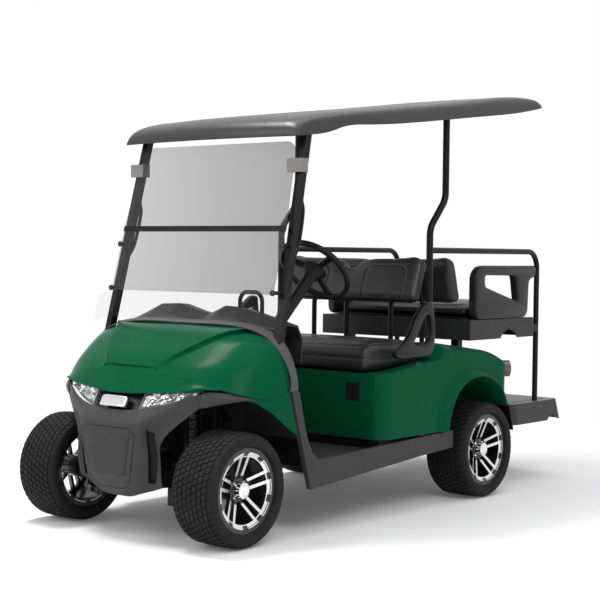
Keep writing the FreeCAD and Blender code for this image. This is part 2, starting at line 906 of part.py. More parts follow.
# The rear body's top line as shares of its length and of the height over its lower edge
POD_TOP_SHARES = [(0.000, 0.718), (0.085, 0.735), (0.362, 0.825), (0.415, 0.87), (0.47, 1.00),
                  (0.53, 0.995), (1.00, 0.837)]


def pod_top_line():
    """The rear body's top in (x, z), carried past both of its ends."""
    front = size("pod_front") + overrun
    length = size("pod_front") + size("pod_rear") + 2 * overrun
    low = size("pod_bottom")
    return spread([(-a, b) for a, b in POD_TOP_SHARES], front, length,
                  low, size("deck_top") - low)


def deck_height(x):
    """The height of the rear deck's top at a place along the cart."""
    (front, high), (rear, low) = pod_top_line()[-2:]
    return high + (low - high) * (x - front) / (rear - front)


def floor_solid():
    """The floor pan: a flat sheet with a lip behind, a front wall and a leaning toe board."""
    thick = size("floor_thickness")
    front = floor_front
    rear = size("floor_rear")
    top = size("toe_board_top")
    lean = size("toe_board_lean")
    outline = [
        (rear, floor_bottom), (front + thick, floor_bottom), (front + thick, size("toe_wall_top")),
        (front + thick + lean, top), (front + lean, top), (front, size("toe_wall_top")),
        (front, floor_top), (rear + thick / 2, floor_top),
        (rear + thick / 2, floor_top + size("floor_rear_lip")),
        (rear, floor_top + size("floor_rear_lip")),
    ]
    half = floor_half
    return side_prism(outline, -half, half)


floor_shape = floor_solid()
add_node("floor_pan", floor_shape)
margin = size("mat_margin")
add_node("floor_mat", block(size("floor_rear") + margin, floor_front - margin,
                            margin - floor_half, floor_half - margin,
                            floor_top, floor_top + size("mat_thickness")))

battery = doc.addObject("Part::Box", "battery_pack")
battery.setExpression("Length", "Dims.battery_front + Dims.battery_rear")
battery.setExpression("Width", "2 * Dims.battery_half_width")
battery.setExpression("Height", "Dims.battery_height")
battery.setExpression("Placement.Base.x", "-Dims.battery_rear")
battery.setExpression("Placement.Base.y", "-Dims.battery_half_width")
battery.setExpression("Placement.Base.z", "Dims.rail_bottom + Dims.rail_height")
claim_node(battery, "battery_pack")


# The rocker's outline as shares of its length and height, from its low front corner
ROCKER_SHARES = [
    (0.870, 0), (0.882, 0.10), (0.929, 0.495), (0.978, 0.92), (0.935, 0.90),
    (0.910, 0.645), (0.892, 0.487), (0.862, 0.335), (0.829, 0.262), (0, 0.336), (0, 0.16),
    (0.215, 0.13), (0.56, 0.062),
]


def rocker_solid():
    rear = -size("rocker_rear")
    length = rocker_front - rear
    height = size("rocker_top") - size("rocker_bottom")
    outline = spread(ROCKER_SHARES, rear, length, size("rocker_bottom"), height)
    outer = rocker_outer
    return side_prism(outline, outer - size("rocker_thickness"), outer)


rocker_shape = rocker_solid()
add_node("rockers", pair(rocker_shape))


# The hood: rows from the windscreen to the nose, each from the middle over the raised panel's crease,
# the shoulder and the flank to the lower edge. x shares run from the rear edge to the nose, y shares
# over the half width, z shares over the rise.
HOOD_SHARES = [
    [(0.00, 0.00, 1.00), (0.00, 0.585, 0.968), (0.00, 0.64, 0.915), (0.003, 0.82, 0.83),
     (-0.027, 0.94, 0.575), (-0.06, 0.998, -0.01)],
    [(0.25, 0.00, 0.925), (0.25, 0.53, 0.907), (0.25, 0.585, 0.845), (0.226, 0.755, 0.735),
     (0.20, 0.905, 0.435), (0.185, 0.99, -0.115)],
    [(0.54, 0.00, 0.68), (0.54, 0.40, 0.662), (0.54, 0.455, 0.598), (0.518, 0.685, 0.475),
     (0.48, 0.835, 0.255), (0.44, 0.925, -0.055)],
    [(0.845, 0.00, 0.355), (0.845, 0.267, 0.347), (0.835, 0.323, 0.286), (0.79, 0.515, 0.214),
     (0.725, 0.672, 0.153), (0.655, 0.79, 0.056)],
    [(1.00, 0.00, 0.00), (0.987, 0.16, 0.004), (0.962, 0.244, 0.008), (0.90, 0.454, 0.028),
     (0.845, 0.614, 0.048), (0.79, 0.698, 0.064)],
]


def hood_grid():
    length = nose_x - hood_rear_x
    rise = size("hood_rear_z") - size("nose_z")
    width = body_half
    grid = []
    for row in HOOD_SHARES:
        half = [(hood_rear_x + a * length, b * width, size("nose_z") + c * rise)
                for a, b, c in row]
        grid.append(full_row(half))
    return grid


# The hood's legs behind the front arches, as shares of the arch's radius from the front axle
LEG_SHARES = [
    (-0.855, 0.54), (-0.69, 1.061), (-0.65, 1.064), (-0.52, 1.000), (-0.39, 0.976), (-0.34, 0.974),
    (-0.12, 1.024), (-0.05, 1.01), (-0.20, 0.97), (-0.38, 0.86), (-0.62, 0.68),
]
# How far up the front strut its slot in the hood and its own bar reach
HOLE_REACH_SHARE = 0.3
BAR_REACH_SHARE = 1.15


def leg_solid():
    reach = size("arch_radius")
    outline = spread(LEG_SHARES, front_axle_x, reach, axle_z, reach)
    outer = body_half
    return side_prism(outline, outer - size("hood_thickness"), outer)


def strut_solid(slack, share):
    """The left front strut, a leaning rectangular bar from the cowl beam, with slack round it."""
    foot = Vector(strut_foot_x, strut_foot_side,
                  size("cowl_beam_top") + gap)
    head = Vector(strut_top_x, strut_top_side, size("roof_front_z"))
    rise = (head - foot) * share
    depth = size("front_strut_depth") / 2 + slack
    width = size("front_strut_width") / 2 + slack
    corners = [Vector(-depth, -width, 0), Vector(depth, -width, 0), Vector(depth, width, 0),
               Vector(-depth, width, 0)]
    return closed_face([foot + corner for corner in corners]).extrude(rise)


strut_tool = pair(strut_solid(size("column_gap"), HOLE_REACH_SHARE))
hood_shape = panel(hood_grid(), size("hood_thickness")).cut(strut_tool)
add_node("front_hood", hood_shape)
leg = leg_solid()
leg = flush(leg, [hood_shape, rocker_shape], leg.CenterOfMass)
add_node("cowl_sides", pair(leg))


# The front bumper: rows from its lower edge to the lamps, each from the middle over the fold beside
# the grille and the air recess to the arch. x shares run back from the front over the distance to the
# axle, y shares over the half width at the lamps, z shares over the height.
FASCIA_SHARES = [
    [(0.305, 0.00, 0.000), (0.30, 0.19, 0.006), (0.30, 0.34, 0.050), (0.375, 0.452, 0.086),
     (0.392, 0.565, 0.120), (0.375, 0.66, 0.148)],
    [(0.11, 0.00, 0.148), (0.115, 0.19, 0.160), (0.16, 0.366, 0.194), (0.277, 0.473, 0.216),
     (0.328, 0.57, 0.228), (0.315, 0.67, 0.250)],
    [(0.043, 0.00, 0.455), (0.047, 0.215, 0.460), (0.102, 0.403, 0.472), (0.23, 0.495, 0.477),
     (0.298, 0.586, 0.477), (0.285, 0.672, 0.483)],
    [(0.008, 0.00, 0.767), (0.013, 0.228, 0.773), (0.06, 0.435, 0.790), (0.204, 0.516, 0.761),
     (0.306, 0.597, 0.739), (0.32, 0.675, 0.724)],
    [(0.025, 0.00, 0.881), (0.038, 0.237, 0.886), (0.102, 0.462, 0.903), (0.247, 0.613, 0.926),
     (0.434, 0.82, 0.960), (0.587, 1.00, 1.045)],
    [(0.136, 0.00, 1.000), (0.162, 0.242, 1.003), (0.238, 0.444, 1.028), (0.374, 0.704, 1.085),
     (0.52, 0.93, 1.193), (0.787, 1.16, 1.222)],
]


def fascia_grid():
    front = fascia_front_x
    depth = size("fascia_ahead")
    height = size("fascia_top") - size("fascia_bottom")
    width = size("fascia_half_width")
    grid = []
    for row in FASCIA_SHARES:
        half = [(front - a * depth, b * width, size("fascia_bottom") + c * height)
                for a, b, c in row]
        grid.append(full_row(half))
    return grid


fascia_shape = panel(fascia_grid(), size("fascia_thickness"))
add_node("front_fascia", fascia_shape)

# The lamp band's lower and upper edges as shares of the overhang, half width and nose height
BAND_LOW_SHARES = [(0.13, 0.00, 0.866), (0.205, 0.352, 0.880), (0.375, 0.67, 0.915),
                   (0.59, 0.985, 0.980)]
BAND_HIGH_SHARES = [(0.29, 0.00, 0.985), (0.38, 0.352, 0.986), (0.493, 0.67, 0.992),
                    (0.595, 0.985, 1.004)]
BAND_STEPS = 3


def band_point(share, back):
    a, b, c = share
    return Vector(fascia_front_x - a * size("fascia_ahead") - back,
                  b * size("fascia_half_width"), c * size("nose_z"))


def band_rows(back, first, last):
    """Rows of the lamp band between two of its stations, from its low to its high edge."""
    rows = []
    for step in range(BAND_STEPS + 1):
        share = step / BAND_STEPS
        row = []
        for low, high in zip(BAND_LOW_SHARES[first:last], BAND_HIGH_SHARES[first:last]):
            low_point = band_point(low, back)
            high_point = band_point(high, back)
            row.append(low_point + (high_point - low_point) * share)
        rows.append(row)
    return rows


def lamp_band():
    grid = [full_row([(p.x, p.y, p.z) for p in row]) for row in band_rows(0, 0, 4)]
    back = size("lamp_thickness") + size("lamp_stand")
    return panel(inset_grid(grid, back), size("band_thickness"))


def headlight():
    """The left lamp: a thick clear block, flush with the band behind it."""
    rows = inset_grid(band_rows(0, 1, 4), size("lamp_stand"))
    lamp = panel(rows, size("lamp_thickness") + size("band_thickness") / 2)
    return flush(lamp, [band_shape, fascia_shape], rows[0][0])


band_shape = lamp_band()
add_node("lamp_band", band_shape)
add_node("headlights", pair(headlight()))


# The grey strip behind the hood, from the middle to the left foot: its front and its rear edge
TRIM_FRONT_SHARES = [(0.00, 0.00, 1.005), (0.00, 0.64, 0.96), (0.003, 0.82, 0.84), (-0.027, 0.945, 0.575),
                     (-0.06, 1.003, -0.01)]
TRIM_REAR_SHARES = [(0.00, 0.00, 1.05), (0.00, 0.64, 1.01), (0.00, 0.835, 0.89), (-0.03, 0.955, 0.60),
                    (-0.065, 1.008, -0.01)]


def trim_solid():
    length = nose_x - hood_rear_x
    rise = size("hood_rear_z") - size("nose_z")
    rows = []
    for shares, back in ((TRIM_FRONT_SHARES, gap), (TRIM_REAR_SHARES, size("trim_width"))):
        half = [(hood_rear_x + a * length - back, b * body_half, size("nose_z") + c * rise)
                for a, b, c in shares]
        rows.append(full_row(half))
    return panel(rows, -size("trim_thickness"))


trim_shape = trim_solid()
trim_shape = flush(trim_shape, [hood_shape, strut_tool, pair(rocker_shape)],
                   trim_shape.CenterOfMass)
add_node("cowl_trim", trim_shape)


def liner_solid():
    """The left front wheel well: an arched sheet over the tyre, ahead of the toe board."""
    radius = size("arch_radius")
    inner = liner_inner
    outer = body_half - size("hood_thickness") * 2 - gap
    base = Vector(front_axle_x, inner, axle_z)
    ring = Part.makeCylinder(radius + size("liner_thickness"), outer - inner, base, AXIS_Y)
    ring = ring.cut(Part.makeCylinder(radius, outer - inner, base, AXIS_Y))
    toe_wall = floor_front + size("floor_thickness") + gap
    low = size("liner_shelf_z")
    window = block(toe_wall, front_axle_x, inner, outer, low, axle_z + radius * 2)
    reach = math.sqrt(radius ** 2 - (low - axle_z) ** 2)
    shelf = block(toe_wall, front_axle_x - reach, inner, floor_half, low,
                  low + size("liner_thickness"))
    liner = ring.common(window).fuse(shelf)
    return flush(liner, [hood_shape, fascia_shape], Vector(front_axle_x, inner, axle_z + radius))


add_node("wheel_wells", pair(liner_solid()))


# The dash: the height of its top over the width, and its section, both as shares
DASH_LEFT_SHARES = [(0.00, 0.60, 0.83), (0.20, 0.98, 0.825), (0.42, 0.90, 0.82), (0.70, 0.62, 0.78),
                    (1.00, 0.30, 0.73)]
DASH_RIGHT_SHARES = [(0.16, 0.72, 0.825), (0.42, 1.00, 0.82), (0.66, 0.95, 0.785),
                     (1.00, 0.30, 0.73)]
DASH_SECTION_SHARES = [(0.76, 0.62, 0.30), (0.44, 0.66, 0.46), (0.18, 0.62, 0.48),
                       (0.04, 0.40, 0.31), (0.06, 0.0, 0.06), (1.00, 0.0, 0.0)]


def dash_loft():
    """The dash's outer form, from its right end to its left one."""
    front = hood_rear_x - size("trim_width") + size("trim_thickness")
    depth = size("dash_depth")
    low = size("dash_bottom")
    height = size("dash_height")
    half = dash_half
    stations = [(-y, top, edge) for y, top, edge in reversed(DASH_RIGHT_SHARES)]
    wires = []
    for y, top, edge in stations + DASH_LEFT_SHARES:
        corners = [Vector(front, y * half, low + height * edge)]
        corners += [Vector(front - depth + across * depth, y * half,
                           low + height * (section + lift * top))
                    for across, section, lift in DASH_SECTION_SHARES]
        wires.append(Part.makePolygon(corners + corners[:1]))
    return Part.makeLoft(wires, True, True)


def dash_solid():
    """The dash as a moulded skin: its top and its face, open in front and below."""
    outer = dash_loft()
    hollow = outer.copy()
    hollow.translate(Vector(size("dash_thickness"), 0, -size("dash_thickness")))
    return flush(outer.cut(hollow), [trim_shape, column_tool], dash_middle)


steering_turn = Rotation(AXIS_Y, 90 + size("steering_tilt_angle"))
steering_place = Vector(steering_x, size("wheel_side"), size("steering_z"))
column_axis = steering_turn.multVec(AXIS_Z)
column_tool = rod(steering_place + column_axis * size("column_start"),
                  steering_place + column_axis * size("column_end"),
                  size("column_radius") + size("column_gap"))
dash_middle = Vector(strut_top_x, 0, size("cowl_beam_top"))
dash_shape = dash_solid()
add_node("dash", dash_shape)


def handle_solid():
    """The grab loop that stands on the dash ahead of the driver."""
    side = size("handle_side")
    half = size("handle_half")
    x = handle_x
    top = size("dash_bottom") + size("handle_top_rise")
    foot = size("dash_bottom") + size("handle_foot_rise")
    loop = bent_tube([Vector(x, side - half, foot), Vector(x, side - half, top),
                      Vector(x, side + half, top), Vector(x, side + half, foot)],
                     size("handle_radius"), size("handle_bend"))
    return flush(loop, [dash_shape], Vector(x, side, top))


add_node("dash_handle", handle_solid())


def column_solid():
    start = steering_place + column_axis * size("column_start")
    end = steering_place + column_axis * size("column_end")
    tube = rod(start, end, size("column_radius"))
    reach = floor_half
    front = floor_front
    beyond = side_prism([
        (front - gap, floor_top), (front - gap, size("toe_wall_top")),
        (front + size("toe_board_lean") - gap, size("toe_board_top")),
        (front + reach, size("toe_board_top")), (front + reach, floor_top),
    ], -reach, reach)
    return tube.cut(beyond)


add_node("steering_column", column_solid())


def steering_wheel():
    """The wheel about the Z axis, its face towards -Z where the driver sits."""
    ring_radius = size("steering_radius")
    grip = size("steering_grip")
    ring = Part.makeTorus(ring_radius, grip)
    hub_reach = size("column_start") - size("hub_gap")
    hub = Part.makeCone(grip * 4, size("column_radius"), hub_reach)
    spokes = []
    for angle in (0, 120, 240):
        bar = Part.makeBox(ring_radius, grip * 2, grip)
        bar.translate(Vector(0, -grip, -grip / 2))
        bar.Placement = Placement(ORIGIN, Rotation(AXIS_Z, angle)).multiply(bar.Placement)
        spokes.append(bar)
    wheel = hub.fuse([ring] + spokes)
    wheel.Placement = Placement(steering_place, steering_turn)
    return wheel


add_node("steering_wheel", steering_wheel())


# A pedal's lever and its foot pad, as shares of the pedal's depth and height
LEVER_SHARES = [(0.00, 0.00), (0.59, 0.00), (0.88, 1.00), (0.59, 1.00)]
PAD_SHARES = [(0.35, 0.45), (0.59, 0.40), (1.00, 1.00), (0.76, 1.05)]


def pedal(y, width):
    """One pedal: a leaning pad on a bent lever that stands on the floor mat."""
    low = floor_top + size("mat_thickness") + gap
    rear = floor_front - size("pedal_back")
    height = size("pedal_height")
    depth = size("pedal_depth")
    arm = size("pedal_arm")
    lever = side_prism(spread(LEVER_SHARES, rear, depth, low, height), y - arm / 2, y + arm / 2)
    pad = side_prism(spread(PAD_SHARES, rear, depth, low, height), y - width / 2, y + width / 2)
    return lever.fuse(pad)


brake = pedal(size("wheel_side") - size("pedal_side"), size("brake_pedal_width"))
drive = pedal(size("wheel_side") + size("pedal_side"), size("drive_pedal_width"))
add_node("pedals", Part.makeCompound([brake, drive]))


screen_slope = math.tan(math.radians(size("screen_lean_angle")))


def screen_plane(outline, thickness):
    """A pane of (y, z) corners on the leaning plane of the windscreen."""
    corners = []
    for y, z in outline:
        corners.append(Vector(screen_x - (z - size("screen_z")) * screen_slope, y, z))
    lean = math.radians(size("screen_lean_angle"))
    normal = Vector(-math.cos(lean), 0, -math.sin(lean))
    return closed_face(corners).extrude(normal * thickness)


def symmetric(half):
    return half + [(-y, z) for y, z in reversed(half)]


def upper_screen():
    low = size("screen_z") + size("screen_split") + size("hinge_bar_half")
    pane = screen_plane(symmetric([(size("screen_half_width"), low),
                                   (size("screen_top_half"), size("screen_top"))]),
                        size("screen_thickness"))
    corners = [edge for edge in pane.Edges
               if edge.BoundBox.ZMin > size("screen_top") - size("screen_corner")
               and edge.BoundBox.YLength < size("screen_thickness")]
    return pane.makeFillet(size("screen_corner"), corners)


def lower_screen():
    high = size("screen_z") - size("screen_split") - size("hinge_bar_half")
    half = size("screen_half_width")
    wing = wing_half
    return screen_plane(symmetric([
        (half, high), (half, size("wing_top")), (wing, size("wing_top") - size("screen_corner") / 3),
        (wing, size("wing_bottom")), (half, size("screen_bottom")),
    ]), size("screen_thickness"))


upper_pane = upper_screen()
lower_pane = lower_screen()
add_node("windshield_upper", upper_pane)
add_node("windshield_lower", lower_pane)


def screen_bar():
    """The hinge strip that grips both panes along their meeting edges."""
    half = size("screen_half_width")
    reach = size("screen_split") + size("hinge_bar_half") + size("screen_grip")
    wall = size("screen_split") / 2
    strip = screen_plane(symmetric([(half, size("screen_z") - reach), (half, size("screen_z") + reach)]),
                         size("screen_thickness") + 2 * wall)
    lean = math.radians(size("screen_lean_angle"))
    strip.translate(Vector(math.cos(lean), 0, math.sin(lean)) * wall)
    return strip.cut([upper_pane, lower_pane])


add_node("windshield_bar", screen_bar())


def roof_line(x):
    """The height of the roof's lower edge at a place along the cart."""
    share = (roof_front_x - x) / (roof_front_x + size("roof_rear_x"))
    return size("roof_front_z") + size("roof_rise") * share


# The roof's section from the middle to the rim, as shares of its half width and crown
ROOF_SECTION_SHARES = [(0.00, 1.08), (0.50, 1.04), (0.80, 1.00), (0.91, 0.95), (0.965, 0.78),
                       (0.99, 0.40), (1.00, 0.00)]
# Stations from the front: the share of the length, of the full crown and of the scoop under the rim
ROOF_STATION_SHARES = [
    (0.000, 0.00, 0.0), (0.004, 0.50, 0.0), (0.035, 0.88, 0.0), (0.10, 1.00, 0.15), (0.155, 1.02, 0.95),
    (0.24, 1.02, 0.85), (0.45, 1.00, 0.2), (0.70, 1.00, 0.0), (0.90, 0.98, 0.0), (0.965, 0.80, 0.3),
    (0.996, 0.45, 0.6), (1.000, 0.15, 0.8),
]


def roof_grid():
    length = roof_front_x + size("roof_rear_x")
    rows = []
    for along, fullness, scoop in ROOF_STATION_SHARES:
        bulge = size("roof_front_bulge") if along < 1 - along else size("roof_rear_bulge")
        x = roof_front_x - along * length
        lift = size("roof_scoop") * scoop
        half = []
        for across, rise in ROOF_SECTION_SHARES:
            swell = bulge * (1 - 2 * along) * (1 - across * across)
            z = roof_line(x) + lift + (size("roof_crown") * fullness - lift) * rise
            half.append((x + swell, across * roof_half, z))
        rows.append(full_row(half))
    return rows


roof_shape = panel(roof_grid(), -size("roof_thickness"))
add_node("roof", roof_shape)

front_bar = strut_solid(0, BAR_REACH_SHARE)
front_bar = flush(front_bar, [roof_shape], front_bar.Vertexes[0].Point)
add_node("front_struts", pair(front_bar))


def strut_centre(z):
    """The front strut's middle at one height."""
    foot = Vector(strut_foot_x, strut_foot_side, size("cowl_beam_top"))
    head = Vector(strut_top_x, strut_top_side, size("roof_front_z"))
    return foot + (head - foot) * ((z - foot.z) / (head.z - foot.z))


def pane_front(z):
    return screen_x - (z - size("screen_z")) * screen_slope


def top_clip():
    """The left clamp at the upper pane's edge, across the front strut."""
    z = size("clip_z")
    half = size("clip_half_height")
    centre = strut_centre(z)
    front = pane_front(z)
    clip = block(centre.x, front + size("clip_lip"), centre.y - size("clip_inner"),
                 centre.y + size("clip_outer"), z - half, z + half)
    return flush(clip, [front_bar, upper_pane], Vector((centre.x + front) / 2, centre.y, z))


def screen_knob(z):
    """A round knob on the front strut that grips the lower pane's edge."""
    centre = strut_centre(z)
    front = pane_front(z)
    edge = Vector(front, size("screen_half_width"), z)
    shank = rod(Vector(centre.x, edge.y, z), edge + AXIS_X * gap, size("knob_shank_radius"))
    knob = rod(edge, edge + AXIS_X * size("clip_lip"), size("knob_radius"))
    return flush(shank.fuse(knob), [front_bar, lower_pane], edge)


clips = [top_clip(), screen_knob(size("knob_low_z")), screen_knob(size("knob_high_z"))]
add_node("windshield_clips", pair(Part.makeCompound(clips)))


def rear_strut():
    """The left rear strut: from the rear body up behind the seat, jogged back, to the roof."""
    side = rear_strut_side
    foot_x = -size("rear_strut_foot_x")
    top_x = -size("rear_strut_top_x")
    points = [
        Vector(foot_x, side, deck_height(foot_x - size("rear_strut_radius"))),
        Vector(foot_x, side, size("rear_strut_bend_low")),
        Vector(top_x, side, size("rear_strut_bend_high")),
        Vector(top_x, side, roof_line(top_x) + size("roof_crown")),
    ]
    bar = bent_tube(points, size("rear_strut_radius"), size("rear_strut_bend"))
    return flush(bar, [roof_shape, body_shape], points[1])


def roof_bracket():
    """The left bar under the roof, from the rear strut to the roof's tail."""
    front = -size("rear_strut_top_x") - size("rear_strut_radius") - gap
    rear = -size("roof_bracket_rear")
    side = rear_strut_side
    half = size("roof_bracket_width") / 2
    crown = size("roof_crown")
    outline = [(front, roof_line(front)), (front, roof_line(front) + crown),
               (rear, roof_line(rear) + crown), (rear, roof_line(rear))]
    bar = side_prism(outline, side - half, side + half)
    return flush(bar, [roof_shape], Vector(front, side, roof_line(front)))


add_node("roof_brackets", pair(roof_bracket()))


def pod_block(inset):
    """The rear body's outer form, or its hollow when the inset is a wall's thickness."""
    front = size("pod_front") - inset
    rear = -size("pod_rear") + inset
    half = body_half - inset
    low = size("pod_bottom")
    height = size("deck_top") - low
    plan = plan_prism([(front, -half), (front, half), (rear, half), (rear, -half)],
                      low - overrun, low + height * 2)
    front_edges = [edge for edge in plan.Edges
                   if edge.BoundBox.ZLength > height and edge.BoundBox.XMin > 0]
    plan = plan.makeFillet(size("pod_corner") - inset, front_edges)
    rear_edges = [edge for edge in plan.Edges
                  if edge.BoundBox.ZLength > height and edge.BoundBox.XMax < rear + overrun]
    plan = plan.makeFillet(size("pod_rear_corner") - inset, rear_edges)
    top = [(x, z - inset) for x, z in pod_top_line()]
    bottom = low - (overrun if inset else 0)
    profile = [(top[0][0], bottom)] + top + [(top[-1][0], bottom)]
    return plan.common(side_prism(profile, -half, half))


def rear_arch_middle():
    return rear_axle_x + size("rear_arch_ahead")


def arch_wire(grow, y):
    """The rear arch's oval at one place across the cart, grown by a distance all round."""
    centre = Vector(rear_arch_middle(), y, size("rear_arch_z"))
    oval = Part.Ellipse(centre + AXIS_Z * (size("rear_arch_height") + grow),
                        centre + AXIS_X * (size("rear_arch_half_length") + grow), centre)
    return Part.Wire(oval.toShape())


def rear_arch(grow, y_low, y_high):
    return Part.Face(arch_wire(grow, y_low)).extrude(Vector(0, y_high - y_low, 0))


def rear_body():
    """The seat pod and rear body in one moulding, with wheel housings and flared lips."""
    outer = pod_block(0)
    body = outer.cut(pod_block(size("pod_wall")))
    wall = size("pod_wall")
    half = body_half
    well_floor = size("pod_top_front") - wall
    well = block(-size("seat_well_rear"), size("pod_front") - wall, -well_half,
                 well_half, size("pod_top_front"), size("deck_top"))
    tub = block(-size("seat_well_rear") - wall, size("pod_front") - wall,
                -well_half - wall, well_half + wall,
                well_floor, size("deck_top")).common(outer)
    body = body.fuse(tub).cut(well)
    inner = rear_liner_inner
    arches = []
    liners = []
    lips = []
    for sign in (1, -1):
        hole = rear_arch(0, inner, half + overrun)
        lining = rear_arch(wall, inner - wall, half).cut(rear_arch(0, inner, half))
        lip = lip_solid()
        if sign < 0:
            hole = mirrored(hole)
            lining = mirrored(lining)
            lip = mirrored(lip)
        arches.append(hole)
        liners.append(lining.common(outer))
        lips.append(lip)
    body = body.cut(arches).fuse(liners + lips)
    return body.cut(pod_tail_cut()).removeSplitter()


def pod_tail_cut():
    """The space under the rear body's tail, behind the wheel arches."""
    half = body_half + size("rear_arch_flare") + overrun
    return block(-size("pod_rear") - overrun, rear_axle_x, -half, half,
                 size("pod_bottom") - overrun, size("pod_tail_bottom")).fuse(
        block(rear_axle_x, rear_arch_middle(), -half, half,
              size("pod_bottom") - overrun, size("pod_bottom")))


def lip_solid():
    """The flared lip round the left rear wheel arch."""
    root = body_half - size("pod_wall")
    edge = body_half + size("rear_arch_flare")
    flare = Part.makeLoft([arch_wire(size("rear_arch_lip"), root),
                           arch_wire(size("rear_arch_edge"), edge)], True, True)
    low = size("pod_bottom")
    reach = size("rear_arch_height") + size("rear_arch_lip") + size("rear_arch_z") - low
    keep = block(rear_arch_middle() - reach, rear_arch_middle() + reach, root, edge, low, low + reach)
    return flare.cut(rear_arch(0, root - overrun, edge + overrun)).common(keep)


body_shape = rear_body()
add_node("rear_body", body_shape)
add_node("frame", frame_solid())
add_node("front_posts", Part.makeCompound([cowl_frame(), nose_post(), mirrored(nose_post())]))
add_node("spring_towers", pair(Part.makeCompound([tower_solid()] + pivot_lugs())))
add_node("rear_struts", pair(rear_strut()))

port = doc.addObject("Part::Box", "charge_port")
port.setExpression("Length", "Dims.port_thickness")
port.setExpression("Width", "Dims.port_size")
port.setExpression("Height", "Dims.port_size")
port.setExpression("Placement.Base.x", "Dims.pod_front")
port.setExpression("Placement.Base.y", "Dims.port_side - Dims.port_size / 2")
port.setExpression("Placement.Base.z", "Dims.port_z - Dims.port_size / 2")
claim_node(port, "charge_port")


def rounded_block(shape, radius):
    return shape.makeFillet(radius, shape.Edges)


cushion_low = size("pod_top_front") + gap
add_node("front_seat_cushion", rounded_block(
    block(-size("cushion_rear"), size("cushion_front"), -cushion_half,
          cushion_half, cushion_low, cushion_low + size("cushion_height")),
    size("cushion_round")))


# The notch's floor as a share of its width at the top
NOTCH_SHARE = 0.6


def seat_back(notch):
    """A backrest about its lower front edge, facing +X, with a low notch between two humps."""
    half = size("back_half_width")
    height = size("back_height")
    thick = size("back_thickness")
    shape = block(-thick, 0, -half, half, 0, height)
    shape = rounded_block(shape, size("back_round"))
    if notch:
        depth = size("back_notch_depth")
        width = size("back_notch_half")
        tool = front_prism([(-width, height + overrun), (-width * NOTCH_SHARE, height - depth),
                            (width * NOTCH_SHARE, height - depth), (width, height + overrun)],
                           -thick - overrun, overrun)
        shape = shape.cut(tool)
    return shape


front_back = seat_back(True)
front_back.Placement = Placement(Vector(-size("back_foot_x"), 0, size("back_bottom")),
                                 Rotation(AXIS_Y, -size("back_lean_angle")))
add_node("front_seat_back", front_back)
rear_back = seat_back(False)
rear_back.Placement = Placement(
    Vector(-size("rear_back_foot_x"), 0, size("rear_back_bottom")),
    Rotation(AXIS_Z, 180).multiply(Rotation(AXIS_Y, -size("rear_back_lean_angle"))))
add_node("rear_seat_back", rear_back)


# The hip restraint's side view as shares of its length and height
HIP_SHARES = [(0.00, 0.02), (0.98, 0.00), (1.00, 0.26), (0.62, 0.40), (0.14, 1.00), (0.00, 1.00)]
# Where the restraint's foot is, over the rear body's height
HIP_FOOT_SHARE = 0.86
HIP_HOLE_SHARES = [(0.09, 0.30), (0.46, 0.32), (0.46, 0.44), (0.12, 0.85)]


def hip_restraint():
    outer = hip_outer
    inner = outer - size("hip_thickness")
    rear = -size("cushion_rear")
    length = size("cushion_front") - size("seat_well_rear") + size("cushion_rear")
    low = size("pod_bottom") + (size("deck_top") - size("pod_bottom")) * HIP_FOOT_SHARE
    height = size("back_bottom") + size("back_notch_depth") - low
    body = rounded_prism(spread(HIP_SHARES, rear, length, low, height), inner, outer,
                         size("hip_round"))
    hole = rounded_prism(spread(HIP_HOLE_SHARES, rear, length, low, height),
                         inner - overrun, outer + overrun, size("hip_hole_round"))
    return body.cut(hole).cut(pod_block(0))


add_node("hip_restraints", pair(hip_restraint()))


def seat_hoop(back):
    """A bent tube behind a backrest: up from the deck, then along the back's own lean."""
    side = size("frame_tube_side")
    radius = size("frame_tube_radius")
    along = -size("back_thickness") - radius
    low = back.Placement.multVec(Vector(along, -side, size("hoop_low")))
    high = back.Placement.multVec(Vector(along, -side, size("hoop_high")))
    foot = Vector(low.x, low.y, deck_height(low.x - radius))
    left = [Vector(point.x, -point.y, point.z) for point in (high, low, foot)]
    hoop = bent_tube([foot, low, high] + left, radius, size("frame_tube_bend"))
    return flush(hoop, [body_shape, back], high)


def tray_foot():
    """The left block between the rear deck and the rear seat's tray."""
    half = size("tray_foot_size") / 2
    front = half - size("tray_foot_x")
    rear = -half - size("tray_foot_x")
    top = size("tray_bottom") - gap
    outline = [(front, deck_height(front)), (front, top), (rear, top), (rear, deck_height(rear))]
    return side_prism(outline, size("tray_foot_side") - half, size("tray_foot_side") + half)


feet = tray_foot()
add_node("seat_frame", Part.makeCompound([
    seat_hoop(front_back), seat_hoop(rear_back), feet, mirrored(feet)]))


board_low = size("tray_bottom") + size("tray_height") + gap
board_rear = -size("tray_rear") + size("flip_gap")


def hinge_rod(side_low, side_high, radius):
    """A round piece on the rear seat's hinge line, between two places across the cart."""
    return rod(Vector(-size("tray_rear"), side_low, board_low),
               Vector(-size("tray_rear"), side_high, board_low), radius)


# The arch in the tray's skirt: its place along the tray, and how deep its centre lies over the height
TRAY_ARCH_SHARE = 0.4
TRAY_ARCH_DROP_SHARE = 0.55


